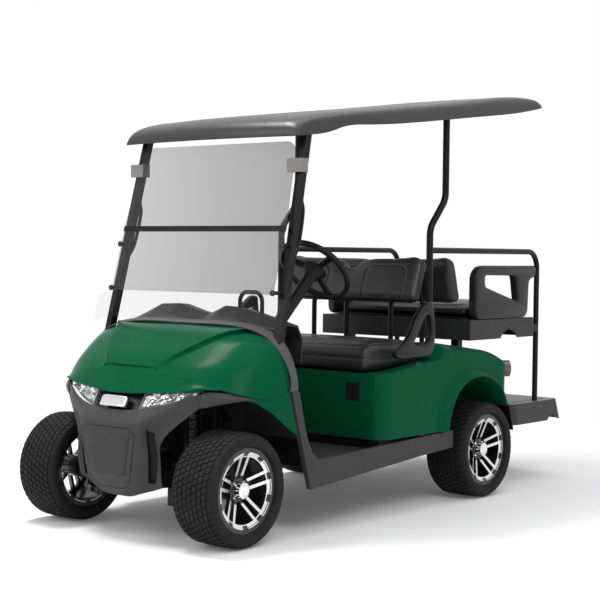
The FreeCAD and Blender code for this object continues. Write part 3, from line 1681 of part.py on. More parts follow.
def tray_solid():
    """The rear seat's moulded tray: a shallow tub, open below, with an arched skirt and two pins."""
    front = -size("tray_front")
    rear = -size("tray_rear")
    half = tray_half
    low = size("tray_bottom")
    top = low + size("tray_height")
    wall = size("tray_wall")
    body = block(rear, front, -half, half, low, top)
    hollow = block(rear + wall, front - wall, wall - half, half - wall, low - overrun, top - wall)
    arch_x = rear + (front - rear) * TRAY_ARCH_SHARE
    arch_z = low - size("tray_height") * TRAY_ARCH_DROP_SHARE
    arch = Part.makeCylinder(size("tray_height"), 2 * half + 2 * overrun,
                             Vector(arch_x, -half - overrun, arch_z), AXIS_Y)
    body = body.cut([hollow, arch])
    side_low = size("hinge_side") - size("hinge_half_length")
    side_high = size("hinge_side") + size("hinge_half_length")
    clear = size("hinge_clear")
    swing = size("flip_gap") + size("board_thickness") + clear
    notch = hinge_rod(side_low - clear, side_high + clear, swing)
    pin = hinge_rod(side_low - clear * 2, side_high + clear * 2, size("hinge_pin_radius"))
    notched = body.cut([notch, mirrored(notch)])
    return notched.fuse([pin, mirrored(pin)])


add_node("rear_seat_tray", tray_solid())


def board_solid():
    """The rear seat's board with two hinge knuckles round the tray's pins."""
    half = size("board_half_width")
    top = board_low + size("board_thickness")
    board = block(board_rear, -size("rear_cushion_front"), -half, half, board_low, top)
    side_low = size("hinge_side") - size("hinge_half_length")
    side_high = size("hinge_side") + size("hinge_half_length")
    pin = size("hinge_pin_radius") + running_gap
    barrel = pin + size("hinge_wall")
    knuckle_body = hinge_rod(side_low, side_high, barrel)
    strap = block(-size("tray_rear"), board_rear, side_low, side_high, board_low, top)
    knuckles = knuckle_body.fuse(strap)
    bore = hinge_rod(side_low - overrun, side_high + overrun, pin)
    return board.fuse([knuckles, mirrored(knuckles)]).cut([bore, mirrored(bore)])


add_node("rear_seat_board", board_solid())
rear_cushion_low = board_low + size("board_thickness") + gap
add_node("rear_seat_cushion", rounded_block(
    block(board_rear, -size("rear_cushion_front"), -size("board_half_width"),
          size("board_half_width"), rear_cushion_low,
          rear_cushion_low + size("rear_cushion_height")),
    size("back_round")))


# The rear side arm's loop as shares of its length and height, outer and inner
ARM_SHARES = [(0.00, 0.00), (0.02, 1.00), (1.00, 1.00), (1.00, 0.80), (0.93, 0.74), (0.90, 0.00)]
ARM_HOLE_SHARES = [(0.17, 0.52), (0.18, 0.85), (0.78, 0.85), (0.80, 0.24)]


def arm_solid():
    outer = arm_outer
    inner = outer - size("arm_depth")
    front = -size("arm_front")
    length = size("side_rail_rear") - size("side_rail_radius") - gap - size("arm_front")
    low = size("tray_bottom") + size("tray_height") + gap
    height = size("arm_top") - low
    body = rounded_prism(spread(ARM_SHARES, front, -length, low, height), inner, outer,
                         size("arm_round"))
    hole = rounded_prism(spread(ARM_HOLE_SHARES, front, -length, low, height),
                         inner - overrun, outer + overrun, size("arm_hole_round"))
    return body.cut(hole)


add_node("rear_arms", pair(arm_solid()))


def side_rail():
    """The left rail: from the rear strut back over the rear seat and down to the foot plate."""
    side = side_rail_side
    z = size("side_rail_z")
    front = -size("rear_strut_foot_x") - size("rear_strut_radius") - gap
    rear = -size("side_rail_rear")
    return bent_tube([Vector(front, side, z), Vector(rear, side, z),
                      Vector(rear, side, size("plate_top") + gap)],
                     size("side_rail_radius"), size("side_rail_bend"))


rail_tube = side_rail()
lug_low = size("tray_lug_low")
lug_half = size("side_rail_radius")
lug = block(-size("side_rail_rear"), -size("tray_rear") - gap, side_rail_side - lug_half,
            side_rail_side + lug_half, lug_low, lug_low + size("tray_lug_height"))
add_node("rear_rails", pair(rail_tube.fuse(lug)))


def plate_wire(grow, z):
    """The foot plate's rounded outline at one height, grown by a distance all round."""
    front = -size("plate_front")
    rear = -size("plate_rear") - grow
    half = plate_half + grow
    corners = [Vector(front, -half, z), Vector(front, half, z), Vector(rear, half, z),
               Vector(rear, -half, z)]
    return rounded_wire(corners, size("plate_corner"))


def footplate_solid():
    """The rear foot plate: a raised tread on a top with a flared skirt, arched at its sides."""
    top = size("plate_top")
    low = top - size("plate_skirt")
    wall = size("plate_wall")
    flare = size("plate_flare")
    outer = Part.makeLoft([plate_wire(flare, low), plate_wire(0, top)], True, True)
    inner = Part.makeLoft([plate_wire(flare - wall, low - overrun), plate_wire(-wall, top - wall)],
                          True, True)
    half = plate_half + flare + overrun
    slot = size("rail_side") + size("rail_width") / 2 + overrun
    notch = block(-size("plate_front") - wall - overrun, -size("plate_front") + overrun, -slot, slot,
                  low - overrun, rear_rail_top + gap)
    inner = inner.common(block(-size("plate_rear") - flare, -size("plate_front") - wall, -half, half,
                               low - overrun, top))
    radius = size("plate_arch_radius")
    arch = Part.makeCylinder(radius, 2 * half, Vector(-size("plate_arch_x"), -half,
                                                      low + size("plate_arch_rise") - radius), AXIS_Y)
    margin = size("tread_margin")
    tread = block(margin - size("plate_rear"), -size("plate_front") - margin, margin - plate_half,
                  plate_half - margin, top, top + size("tread_rise"))
    return outer.cut([inner, notch, arch]).fuse(tread)


add_node("footplate", footplate_solid())


def tail_lamp():
    """The left round lamp on the rear body's corner, cut flush with the moulding."""
    turn = math.radians(size("tail_lamp_angle"))
    outward = Vector(math.cos(turn), math.sin(turn), 0)
    base = Vector(-size("tail_lamp_x"), size("tail_lamp_side"), size("tail_lamp_z"))
    tip = base + outward * size("tail_lamp_depth")
    return flush(rod(base, tip, size("tail_lamp_radius")), [body_shape], tip)


add_node("taillights", pair(tail_lamp()))


def mud_flap():
    """The left flap behind the rear wheel, hung from the end of the arch's lip."""
    top = size("pod_tail_bottom") - gap
    front = rear_axle_x - size("flap_top_back")
    low_front = rear_axle_x - size("flap_bottom_back")
    root = size("flap_root")
    thick = size("flap_thickness")
    bottom = top - size("flap_height")
    outline = [(front, top), (front - root, top), (low_front - thick, bottom), (low_front, bottom)]
    side = size("flap_inner_side")
    return side_prism(outline, side, side + size("flap_width"))


add_node("mud_flaps", pair(mud_flap()))


# The gear case's nose, and its web at the axle and at the motor, over the case's radius
CASE_NOSE_SHARE = 0.7
WEB_AXLE_SHARE = 0.8
WEB_MOTOR_SHARE = 0.6


def rear_axle():
    """The rear axle: its tube with brake plates and spindles, and the gear case."""
    end = axle_end
    centre = Vector(rear_axle_x, 0, axle_z)
    tube = rod(centre - AXIS_Y * end, centre + AXIS_Y * end, size("axle_tube_radius"))
    spindle_end = size("rear_track") / 2 - size("rim_hub_inner") + size("spindle_depth")
    spindle = rod(centre - AXIS_Y * spindle_end, centre + AXIS_Y * spindle_end,
                  size("spindle_radius"))
    plates = []
    for sign in (1, -1):
        base = centre + AXIS_Y * (sign * end)
        plates.append(rod(base, base + AXIS_Y * (sign * size("drum_thickness")),
                          size("drum_radius")))
    case_low = centre + AXIS_Y * size("gear_case_side")
    case_high = case_low + AXIS_Y * size("gear_case_width")
    case = rod(case_low, case_high, size("gear_case_radius"))
    step = AXIS_X * size("motor_forward")
    nose = rod(case_low + step, case_high + step, size("gear_case_radius") * CASE_NOSE_SHARE)
    web = side_prism([
        (rear_axle_x, axle_z - size("gear_case_radius") * WEB_AXLE_SHARE),
        (rear_axle_x + size("motor_forward"), axle_z - size("gear_case_radius") * WEB_MOTOR_SHARE),
        (rear_axle_x + size("motor_forward"), axle_z + size("gear_case_radius") * WEB_MOTOR_SHARE),
        (rear_axle_x, axle_z + size("gear_case_radius") * WEB_AXLE_SHARE),
    ], size("gear_case_side"), size("gear_case_side") + size("gear_case_width"))
    return tube.fuse([spindle, case, nose, web] + plates).removeSplitter()


add_node("rear_axle", rear_axle())

motor = doc.addObject("Part::Cylinder", "drive_motor")
motor.setExpression("Radius", "Dims.motor_radius")
motor.setExpression("Height", "Dims.motor_length")
motor.Placement = Placement(
    Vector(rear_axle_x + size("motor_forward"), size("gear_case_side") - gap, axle_z),
    Rotation(AXIS_X, 90))
claim_node(motor, "drive_motor")


def leaf_spring():
    """The left leaf spring: an arched leaf on the axle, with hangers up to the rail."""
    half = size("leaf_half_length")
    thick = size("leaf_thickness")
    width = size("leaf_width")
    low = axle_z + size("axle_tube_radius") + gap
    sag = rear_rail_bottom - low - thick * 2
    side = size("rail_side")
    start = Vector(rear_axle_x - half, side - width / 2, low + sag)
    middle = Vector(rear_axle_x, side - width / 2, low)
    end = Vector(rear_axle_x + half, side - width / 2, low + sag)
    rise = Vector(0, 0, thick)
    under = Part.Arc(start, middle, end).toShape()
    over = Part.Arc(start + rise, middle + rise, end + rise).toShape()
    sides = [Part.LineSegment(start, start + rise).toShape(),
             Part.LineSegment(end, end + rise).toShape()]
    wire = Part.Wire(Part.__sortEdges__([under, over] + sides))
    leaf = Part.Face(wire).extrude(Vector(0, width, 0))
    hangers = []
    for x in (rear_axle_x - half, rear_axle_x + half - thick * 2):
        hangers.append(block(x, x + thick * 2, side - width / 2, side + width / 2,
                             low + sag, rear_rail_bottom - gap))
    return leaf.fuse(hangers)


add_node("leaf_springs", pair(leaf_spring()))


def rack_housing():
    """The steering rack's housing, hung from a cross member of the frame."""
    half = size("rack_housing_half")
    x = front_axle_x - size("steering_arm_length")
    centre = Vector(x, 0, size("rack_height"))
    shell = rod(centre - AXIS_Y * half, centre + AXIS_Y * half, size("rack_housing_radius"))
    foot = block(x - size("rack_housing_radius"), x + size("rack_housing_radius"), -half / 2,
                 half / 2, size("rack_height"), size("rail_bottom") - gap)
    reach = half + overrun
    bore = rod(centre - AXIS_Y * reach, centre + AXIS_Y * reach, size("rack_radius") + running_gap)
    return shell.fuse(foot).cut(bore)


def tie_rods():
    """The rack bar with its rods, and a ball joint's housing over each steering arm's eye."""
    x = front_axle_x - size("steering_arm_length")
    end = kingpin_side - size("steering_arm_tuck")
    centre = Vector(x, 0, size("rack_height"))
    bar = rod(centre - AXIS_Y * end, centre + AXIS_Y * end, size("rack_radius"))
    joints = []
    for sign in (1, -1):
        base = centre + AXIS_Y * (sign * end) - AXIS_Z * size("rack_radius")
        joints.append(Part.makeCylinder(size("steering_arm_eye") - overrun / 2,
                                        size("rack_radius") * 2, base, AXIS_Z))
    return bar.fuse(joints)


add_node("steering_rack", rack_housing())
add_node("tie_rods", tie_rods())

doc.recompute()
for item in doc.Objects:
    if "Invalid" in item.State or "Error" in item.State:
        raise RuntimeError("%s did not build" % item.Label)
faulty = [item.Label for item in nodes
          if item.Shape.isNull() or not item.Shape.isValid() or not item.Shape.Solids]
if faulty:
    raise RuntimeError("not valid solids: %s" % ", ".join(faulty))
os.makedirs("parts", exist_ok=True)
for item in nodes:
    item.Shape.exportStep("parts/%s.step" % item.Label)
print("pieces written:", len(nodes))
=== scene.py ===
"""Looks of the electric 2+2 golf cart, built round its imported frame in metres."""
import json
import math

import bmesh
import bpy
from mathutils import Matrix, Vector
from mathutils.bvhtree import BVHTree


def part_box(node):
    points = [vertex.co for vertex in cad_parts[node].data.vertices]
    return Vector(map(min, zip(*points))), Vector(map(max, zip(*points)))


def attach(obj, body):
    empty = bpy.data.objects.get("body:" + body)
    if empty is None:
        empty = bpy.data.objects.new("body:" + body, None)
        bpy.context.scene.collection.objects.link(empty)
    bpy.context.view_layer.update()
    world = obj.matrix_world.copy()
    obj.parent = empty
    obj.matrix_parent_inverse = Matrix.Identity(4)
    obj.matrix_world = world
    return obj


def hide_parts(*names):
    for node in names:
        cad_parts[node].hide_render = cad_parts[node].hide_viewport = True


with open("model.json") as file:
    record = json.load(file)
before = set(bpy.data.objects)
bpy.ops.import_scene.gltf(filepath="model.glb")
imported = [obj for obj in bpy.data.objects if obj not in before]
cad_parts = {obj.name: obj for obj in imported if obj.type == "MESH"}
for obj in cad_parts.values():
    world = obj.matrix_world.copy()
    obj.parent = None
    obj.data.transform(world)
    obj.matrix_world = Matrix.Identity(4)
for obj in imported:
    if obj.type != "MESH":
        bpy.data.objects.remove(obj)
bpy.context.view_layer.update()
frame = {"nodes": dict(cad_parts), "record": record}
nodes = frame["nodes"]


# Materials

class Shader:
    """A node material under construction: a Principled surface with helpers for its inputs."""

    def __init__(self, name, roughness=0.5, metallic=0.0, coat=0.0, specular=0.5):
        self.material = bpy.data.materials.new(name)
        self.material.use_nodes = True
        self.tree = self.material.node_tree
        self.surface = self.tree.nodes["Principled BSDF"]
        self.put("Roughness", roughness)
        self.put("Metallic", metallic)
        self.put("Coat Weight", coat)
        self.put("Specular IOR Level", specular)
        coordinates = self.tree.nodes.new("ShaderNodeTexCoord")
        self.place = coordinates.outputs["Object"]
        self.normal = coordinates.outputs["Normal"]

    def feed(self, value, socket):
        """Sets a socket from a number or a tuple, or links it to another node's output."""
        if isinstance(value, (int, float, tuple)):
            socket.default_value = value
        else:
            self.tree.links.new(value, socket)

    def put(self, name, value):
        """Sets or links one of the surface's own inputs."""
        self.feed(value, self.surface.inputs[name])

    def node(self, kind, output, inputs, **settings):
        """Adds a node with its settings and inputs, and gives one of its outputs."""
        node = self.tree.nodes.new("ShaderNode" + kind)
        for name, value in settings.items():
            setattr(node, name, value)
        for key, value in inputs.items():
            self.feed(value, node.inputs[key])
        return node.outputs[output]

    def math(self, operation, first, second=0.0):
        return self.node("Math", "Value", {0: first, 1: second}, operation=operation)

    def times(self, first, second):
        return self.math("MULTIPLY", first, second)

    def over(self, value, limit):
        """1 where the value is over a limit, else 0."""
        return self.math("GREATER_THAN", value, limit)

    def band(self, value, low, high):
        """1 where the value lies between two limits, else 0."""
        return self.times(self.over(value, low), self.math("LESS_THAN", value, high))

    def length(self, first, second):
        """The length of a flat step with two sides."""
        return self.math("SQRT", self.math("ADD", self.times(first, first), self.times(second, second)))

    def axes(self, vector):
        """The three components of a vector output."""
        node = self.tree.nodes.new("ShaderNodeSeparateXYZ")
        self.feed(vector, node.inputs["Vector"])
        return tuple(node.outputs)

    def stretched(self, factors, turn=(0.0, 0.0, 0.0)):
        """The object's coordinates, scaled along their axes and turned if asked."""
        if factors is None:
            return self.place
        return self.node("Mapping", "Vector", {"Scale": factors, "Rotation": turn, "Vector": self.place})

    def noise(self, scale, detail=4.0, roughness=0.55, stretch=None):
        """A noise texture's factor, in object space."""
        return self.node("TexNoise", "Fac", {"Scale": scale, "Detail": detail, "Roughness": roughness,
                                             "Vector": self.stretched(stretch)})

    def cells(self, scale, stretch=None, turn=(0.0, 0.0, 0.0), jitter=1.0, output="Distance"):
        """A Voronoi texture's output, in object space."""
        return self.node("TexVoronoi", output, {"Scale": scale, "Randomness": jitter,
                                                "Vector": self.stretched(stretch, turn)})

    def ramp(self, factor, stops):
        """A colour ramp over a factor, with stops of (place, colour)."""
        node = self.tree.nodes.new("ShaderNodeValToRGB")
        elements = node.color_ramp.elements
        while len(elements) < len(stops):
            elements.new(0.5)
        for element, (place, colour) in zip(elements, stops):
            element.position = place
            element.color = (*colour, 1.0)
        self.feed(factor, node.inputs["Fac"])
        return node.outputs["Color"]

    def mixed(self, factor, first, second):
        """One colour output or another by a factor."""
        return self.node("Mix", "Result", {"Factor": factor, "A": first, "B": second}, data_type="RGBA")

    def spread(self, factor, low, high, start=0.3, end=0.7):
        """A factor's range from start to end, turned into low to high."""
        return self.node("MapRange", "Result", {"Value": factor, "From Min": start, "From Max": end,
                                                "To Min": low, "To Max": high})

    def tones(self, factor, colour, low, high):
        """A colour that shifts between two shades of itself with a factor."""
        return self.ramp(factor, [(0.3, shade(colour, low)), (0.7, shade(colour, high))])

    def colour(self, output):
        self.put("Base Color", output)

    def rough(self, factor, low, high):
        self.put("Roughness", self.spread(factor, low, high))

    def bump(self, height, strength, distance):
        """Adds a bump layer under any that the surface already has."""
        target = self.surface.inputs["Normal"]
        inputs = {"Strength": strength, "Distance": distance, "Height": height}
        if target.is_linked:
            inputs["Normal"] = target.links[0].from_socket
        self.put("Normal", self.node("Bump", "Normal", inputs))


def shade(colour, factor):
    return tuple(channel * factor for channel in colour)


GRAIN_SCALE = 420.0
GRAIN_DEPTH = 0.00012


def moulded(name, colour, roughness, coat=0.0, specular=0.25):
    """A grained moulding: slight tone changes, an even roughness and a fine pebble grain."""
    shader = Shader(name, roughness, coat=coat, specular=specular)
    shader.colour(shader.tones(shader.noise(6.0, 5.0), colour, 0.9, 1.1))
    shader.rough(shader.noise(40.0), roughness - 0.05, roughness + 0.07)
    shader.bump(shader.noise(GRAIN_SCALE, 2.0), 0.5, GRAIN_DEPTH)
    return shader.material


def gloss_body(name, colour):
    """Gloss moulded colour: a tone that shifts slightly under a soft sheen."""
    shader = Shader(name, 0.24, coat=0.02)
    shader.put("IOR", 1.08)
    shader.put("Coat Roughness", 0.08)
    shader.colour(shader.tones(shader.noise(3.0, 3.0), colour, 0.94, 1.06))
    shader.rough(shader.noise(18.0), 0.23, 0.30)
    return shader.material


def coated_steel(name, colour, roughness, specular=0.4):
    """Powder-coated steel: a fine orange peel and a little sheen."""
    shader = Shader(name, roughness, specular=specular)
    shader.colour(shader.tones(shader.noise(12.0), colour, 0.85, 1.2))
    shader.rough(shader.noise(60.0), roughness - 0.06, roughness + 0.08)
    shader.bump(shader.noise(500.0, 2.0), 0.3, 0.0003)
    return shader.material


def bare_metal(name, colour, roughness, brushed):
    """Bright metal with faint brush lines along one direction."""
    shader = Shader(name, roughness, metallic=1.0)
    lines = shader.noise(260.0, 3.0, 0.6, stretch=brushed)
    shader.colour(shader.tones(lines, colour, 0.9, 1.05))
    shader.rough(lines, roughness * 0.8, roughness * 1.3)
    shader.bump(lines, 0.12, 0.0003)
    return shader.material


def chrome(name):
    """Plated metal with a faint haze."""
    shader = Shader(name, 0.12, metallic=1.0)
    shader.colour(shader.tones(shader.noise(20.0), (0.80, 0.80, 0.81), 0.95, 1.03))
    shader.rough(shader.noise(60.0), 0.08, 0.18)
    return shader.material


FACET_SCALE = 70.0


def reflector(name):
    """The faceted bright inside of a lamp; its facets' colours, from dark to bright, are painted reflections
    on one even metal.
    """
    shader = Shader(name, 0.15, metallic=1.0)
    # Each facet gets a colour between near black and near white at random: painted reflections, as the real
    # facets are one chrome.
    facet_glints = shader.cells(FACET_SCALE, output="Color")
    shader.colour(shader.ramp(facet_glints, [(0.15, (0.10, 0.10, 0.11)), (0.45, (0.55, 0.55, 0.60)),
                                       (0.75, (0.92, 0.92, 0.95))]))
    shader.rough(shader.noise(90.0), 0.10, 0.22)
    shader.bump(shader.cells(FACET_SCALE), 0.8, 0.004)
    return shader.material


TREAD_COLOUR = (0.008, 0.008, 0.0083)


def tyre_rubber():
    shader = Shader("tyre_rubber", 0.66, specular=0.20)
    shader.colour(shader.tones(shader.noise(9.0, 6.0), TREAD_COLOUR, 0.8, 1.5))
    shader.rough(shader.noise(30.0), 0.62, 0.80)
    shader.bump(shader.noise(700.0, 3.0), 0.35, 0.0004)
    return shader.material


RIM_BLACK = (0.010, 0.010, 0.011)
RIM_BRIGHT = (0.78, 0.78, 0.79)
RIM_HUB_EDGE = 0.058
RIM_RING_START = 0.136
RIM_FACE_EDGE = 0.150
RIM_NOTCHES = 10
NOTCH_SPAN = (0.34, 0.66)
MACHINED_FACING = 0.84


def machined_alloy(name, centre):
    """Gloss black alloy whose outward faces are machined bright, with black notches in the ring."""
    shader = Shader(name, 0.25, coat=0.3, specular=0.4)
    x, _, z = shader.axes(shader.place)
    across = shader.math("SUBTRACT", x, centre.x)
    up = shader.math("SUBTRACT", z, centre.z)
    radius = shader.length(across, up)
    facing = shader.math("ABSOLUTE", shader.axes(shader.normal)[1])
    outward = shader.over(facing, MACHINED_FACING)
    on_face = shader.band(radius, RIM_HUB_EDGE, RIM_FACE_EDGE)
    turn = shader.times(shader.math("ARCTAN2", up, across), RIM_NOTCHES / math.tau)
    share = shader.math("FRACT", shader.math("ADD", turn, 50.0))
    notch = shader.times(shader.band(share, *NOTCH_SPAN), shader.over(radius, RIM_RING_START))
    bright = shader.times(shader.times(outward, on_face), shader.math("SUBTRACT", 1.0, notch))
    lines = shader.noise(300.0, 2.0)
    shader.colour(shader.mixed(bright, shader.tones(lines, RIM_BLACK, 0.8, 1.3),
                               shader.tones(lines, RIM_BRIGHT, 0.93, 1.03)))
    shader.put("Metallic", bright)
    shader.rough(lines, 0.20, 0.32)
    return shader.material


CLEAR_STRIP_TOP = 0.985


def smoky_pane():
    """A smoky pane, clear in the strip at its foot; its density rising towards the left side is painted shade
    over an even tint.
    """
    shader = Shader("smoky_pane", 0.06, specular=0.12)
    _, y, z = shader.axes(shader.place)
    shader.colour(shader.tones(shader.noise(2.0), (0.075, 0.075, 0.077), 0.95, 1.05))
    # The rise in density from right to left is painted shade: the real tint is even across the pane.
    tint_and_shade = shader.spread(y, 0.20, 0.32, -0.45, 0.45)
    smoked = shader.over(z, CLEAR_STRIP_TOP)
    seam = shader.band(z, CLEAR_STRIP_TOP - 0.004, CLEAR_STRIP_TOP + 0.002)
    density = shader.times(tint_and_shade, shader.math("ADD", smoked, 0.25))
    shader.put("Alpha", shader.math("ADD", density, shader.times(seam, 0.15)))
    shader.material.surface_render_method = "BLENDED"
    return shader.material


def clear_lens():
    shader = Shader("clear_lens", 0.03)
    shader.colour(shader.tones(shader.noise(2.0), (0.88, 0.89, 0.91), 0.97, 1.03))
    shader.put("Alpha", 0.10)
    shader.material.surface_render_method = "BLENDED"
    return shader.material


def tail_lens():
    shader = Shader("tail_lens", 0.15, coat=0.6)
    shader.colour(shader.tones(shader.noise(4.0), (0.070, 0.050, 0.050), 0.85, 1.15))
    shader.bump(shader.cells(140.0), 0.3, 0.0006)
    return shader.material


def seat_vinyl():
    """Charcoal vinyl: a pebbled leather grain with tone and sheen that vary."""
    shader = Shader("seat_vinyl", 0.40, specular=0.42)
    shader.colour(shader.tones(shader.noise(14.0, 5.0), (0.020, 0.0198, 0.020), 0.85, 1.2))
    shader.rough(shader.noise(90.0), 0.33, 0.45)
    shader.bump(shader.cells(420.0), 0.25, 0.0003)
    shader.bump(shader.noise(60.0), 0.08, 0.0006)
    return shader.material


HOLES_PER_METRE = (0.01, 90.0, 78.0)
HOLE_SIZE = 0.33


def bumper_grille():
    """The bumper's grey moulding with rows of small round holes: shallow dents with painted shade in them."""
    shader = Shader("bumper_grille", 0.5, specular=0.3)
    holes = shader.cells(1.0, HOLES_PER_METRE, (math.radians(45.0), 0.0, 0.0), jitter=0.0)
    # Inside each hole the colour is near black: painted shade, as the holes are dents and not cut through.
    hole_shade = shader.math("LESS_THAN", holes, HOLE_SIZE)
    grain = shader.noise(900.0, 2.0)
    shader.colour(shader.mixed(hole_shade, shader.tones(grain, GREY_COLOUR, 1.05, 1.25),
                               shader.tones(grain, GREY_COLOUR, 0.02, 0.04)))
    shader.bump(shader.spread(holes, 0.0, 1.0, 0.22, 0.40), 0.6, 0.003)
    shader.bump(grain, 0.4, 0.0004)
    return shader.material


PALE_CLIPS_OVER = 1.40


def clip_plastic():
    """Clip mouldings: pale grey up at the roof, black further down."""
    shader = Shader("clip_plastic", 0.4, specular=0.3)
    pale = shader.over(shader.axes(shader.place)[2], PALE_CLIPS_OVER)
    grain = shader.noise(200.0)
    shader.colour(shader.mixed(pale, shader.tones(grain, (0.020, 0.020, 0.021), 0.9, 1.2),
                               shader.tones(grain, (0.20, 0.195, 0.19), 0.9, 1.1)))
    return shader.material


PIMPLES_PER_METRE = (60.0, 60.0, 0.01)
TOP_FACING = 0.9


def tread_plate():
    """The foot plate's moulding: paler and pimpled where it faces up."""
    shader = Shader("tread_plate", 0.5, specular=0.3)
    top = shader.over(shader.axes(shader.normal)[2], TOP_FACING)
    grain = shader.noise(700.0, 2.0)
    pimples = shader.spread(shader.cells(1.0, PIMPLES_PER_METRE, jitter=0.0), 1.0, 0.0, 0.2, 0.32)
    shader.colour(shader.mixed(top, shader.tones(grain, (0.030, 0.030, 0.031), 0.9, 1.1),
                               shader.tones(grain, (0.15, 0.15, 0.152), 0.9, 1.1)))
    shader.bump(shader.times(pimples, top), 0.5, 0.0015)
    shader.bump(grain, 0.4, 0.0004)
    return shader.material


GREY_COLOUR = (0.036, 0.035, 0.036)
GREEN_COLOUR = (0.0020, 0.076, 0.033)
MATERIALS = {
    "tyre": tyre_rubber(),
    "alloy_black": coated_steel("alloy_black", RIM_BLACK, 0.3),
    "green_body": gloss_body("green_body", GREEN_COLOUR),
    "grey_plastic": moulded("grey_plastic", GREY_COLOUR, 0.5),
    "dash_plastic": moulded("dash_plastic", (0.026, 0.0255, 0.0255), 0.5),
    "black_plastic": moulded("black_plastic", (0.009, 0.009, 0.0093), 0.42, specular=0.16),
    "roof_plastic": moulded("roof_plastic", (0.018, 0.017, 0.0175), 0.36, specular=0.42),
    "seat_vinyl": seat_vinyl(),
    "floor_rubber": moulded("floor_rubber", (0.020, 0.020, 0.0205), 0.7),
    "black_steel": coated_steel("black_steel", (0.006, 0.006, 0.0063), 0.30, 0.16),
    "bracket_alloy": bare_metal("bracket_alloy", (0.42, 0.42, 0.43), 0.38, (1.0, 14.0, 14.0)),
    "running_gear": coated_steel("running_gear", (0.016, 0.016, 0.017), 0.42, 0.3),
    "tinted_pane": smoky_pane(),
    "lamp_lens": clear_lens(),
    "tail_lens": tail_lens(),
}
GLOSS_BLACK = moulded("gloss_black", (0.007, 0.007, 0.0073), 0.26, coat=0.08, specular=0.2)
ARM_PLASTIC = moulded("arm_plastic", (0.016, 0.016, 0.0163), 0.30)
CHROME = chrome("chrome")
REFLECTOR = reflector("lamp_reflector")
GRILLE = bumper_grille()
OWN_MATERIALS = {
    "windshield_clips": clip_plastic(), "footplate": tread_plate(), "lamp_band": GLOSS_BLACK,
    "rear_seat_tray": moulded("tray_plastic", (0.020, 0.020, 0.0203), 0.40),
    "cowl_trim": moulded("trim_plastic", (0.070, 0.067, 0.068), 0.5),
}
SOFT_EDGES = {
    "rockers": 0.005, "footplate": 0.010, "lamp_band": 0.001, "rear_seat_tray": 0.012, "cowl_trim": 0.0015,
    "windshield_clips": 0.002, "charge_port": 0.002, "mud_flaps": 0.0015, "taillights": 0.003,
    "pedals": 0.002, "front_struts": 0.003, "frame": 0.003, "floor_pan": 0.002, "floor_mat": 0.003,
    "rear_seat_board": 0.003, "roof_brackets": 0.002, "battery_pack": 0.006, "spring_towers": 0.002,
    "windshield_upper": 0.001, "windshield_lower": 0.001, "front_arms": 0.002,
}
RIM_EDGE = 0.0015
WELD_REACH = 0.00002
CORNERS = {"front_left": 1, "front_right": -1, "rear_left": 1, "rear_right": -1}


def modify(piece, kind, **settings):
    """Adds a modifier with its settings."""
    modifier = piece.modifiers.new(kind.lower(), kind)
    for name, value in settings.items():
        setattr(modifier, name, value)
    return modifier


def bevel_edges(piece, width, angle):
    modify(piece, "BEVEL", width=width, segments=2, limit_method="ANGLE", angle_limit=math.radians(angle))


def soften(piece, width):
    """Rounds the edges of a hard-edged mesh and evens its shading, with its points left as they are."""
    modify(piece, "WELD", merge_threshold=WELD_REACH)
    bevel_edges(piece, width, 38.0)
    modify(piece, "WEIGHTED_NORMAL", keep_sharp=True)


def set_material(mesh, material):
    mesh.materials.clear()
    mesh.materials.append(material)


def middle_of(node):
    low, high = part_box(node)
    return (low + high) / 2


def dress_cad_nodes():
    """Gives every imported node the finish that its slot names, or one of its own."""
    for entry in frame["record"]["subparts"]:
        name = entry["node"]
        set_material(nodes[name].data, OWN_MATERIALS.get(name, MATERIALS[entry["material_slot"]]))
        if name in SOFT_EDGES:
            soften(nodes[name], SOFT_EDGES[name])
    for corner in CORNERS:
        rim = nodes["rim_" + corner]
        set_material(rim.data, machined_alloy("machined_" + corner, middle_of("rim_" + corner)))
        soften(rim, RIM_EDGE)


dress_cad_nodes()


# Pieces

def adopt(name, data, body="chassis"):
    """An object of its own for a mesh or curve, which rides on a body."""
    piece = bpy.data.objects.new(name, data)
    bpy.context.scene.collection.objects.link(piece)
    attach(piece, body)
    return piece


def shade_smooth(mesh, sharp=180.0):
    """Shades all faces smoothly, with sharp edges over an angle."""
    for polygon in mesh.polygons:
        polygon.use_smooth = True
    mesh.set_sharp_from_angle(angle=math.radians(sharp))


def add_piece(name, points, faces, material, body="chassis", sharp=40.0):
    """A smooth-shaded mesh piece that rides on a body."""
    mesh = bpy.data.meshes.new(name)
    mesh.from_pydata([tuple(point) for point in points], [], faces)
    mesh.materials.append(material)
    shade_smooth(mesh, sharp)
    return adopt(name, mesh, body)


def grid_faces(rows, columns, closed=False):
    """Quads between the points of a grid, row by row; closed joins the last column to the first."""
    faces = []
    for i in range(rows - 1):
        for j in range(columns if closed else columns - 1):
            k = (j + 1) % columns
            faces.append((i * columns + j, i * columns + k, (i + 1) * columns + k, (i + 1) * columns + j))
    return faces


def turned(faces, side):
    """The faces as they are on the left side, and turned round on the right."""
    return faces if side > 0 else [face[::-1] for face in faces]


def lathed(profile, centre, segments, side):
    """Points of a profile of (along, radius), turned about a line through centre along Y."""
    turns = [math.tau * step / segments for step in range(segments)]
    return [centre + Vector((radius * math.cos(turn), along * side, radius * math.sin(turn)))
            for along, radius in profile for turn in turns]


def both_sides(half_row):
    """A row given from the middle to the left, completed to the right."""
    right = [Vector((x, -y, z)) for x, y, z in reversed(half_row[1:])]
    return right + [Vector(point) for point in half_row]


def subdivide(piece, levels):
    modify(piece, "SUBSURF", levels=levels, render_levels=levels)


PANEL_SKIN = 0.004


def wall(piece, thickness=PANEL_SKIN):
    modify(piece, "SOLIDIFY", thickness=thickness, offset=-1.0)


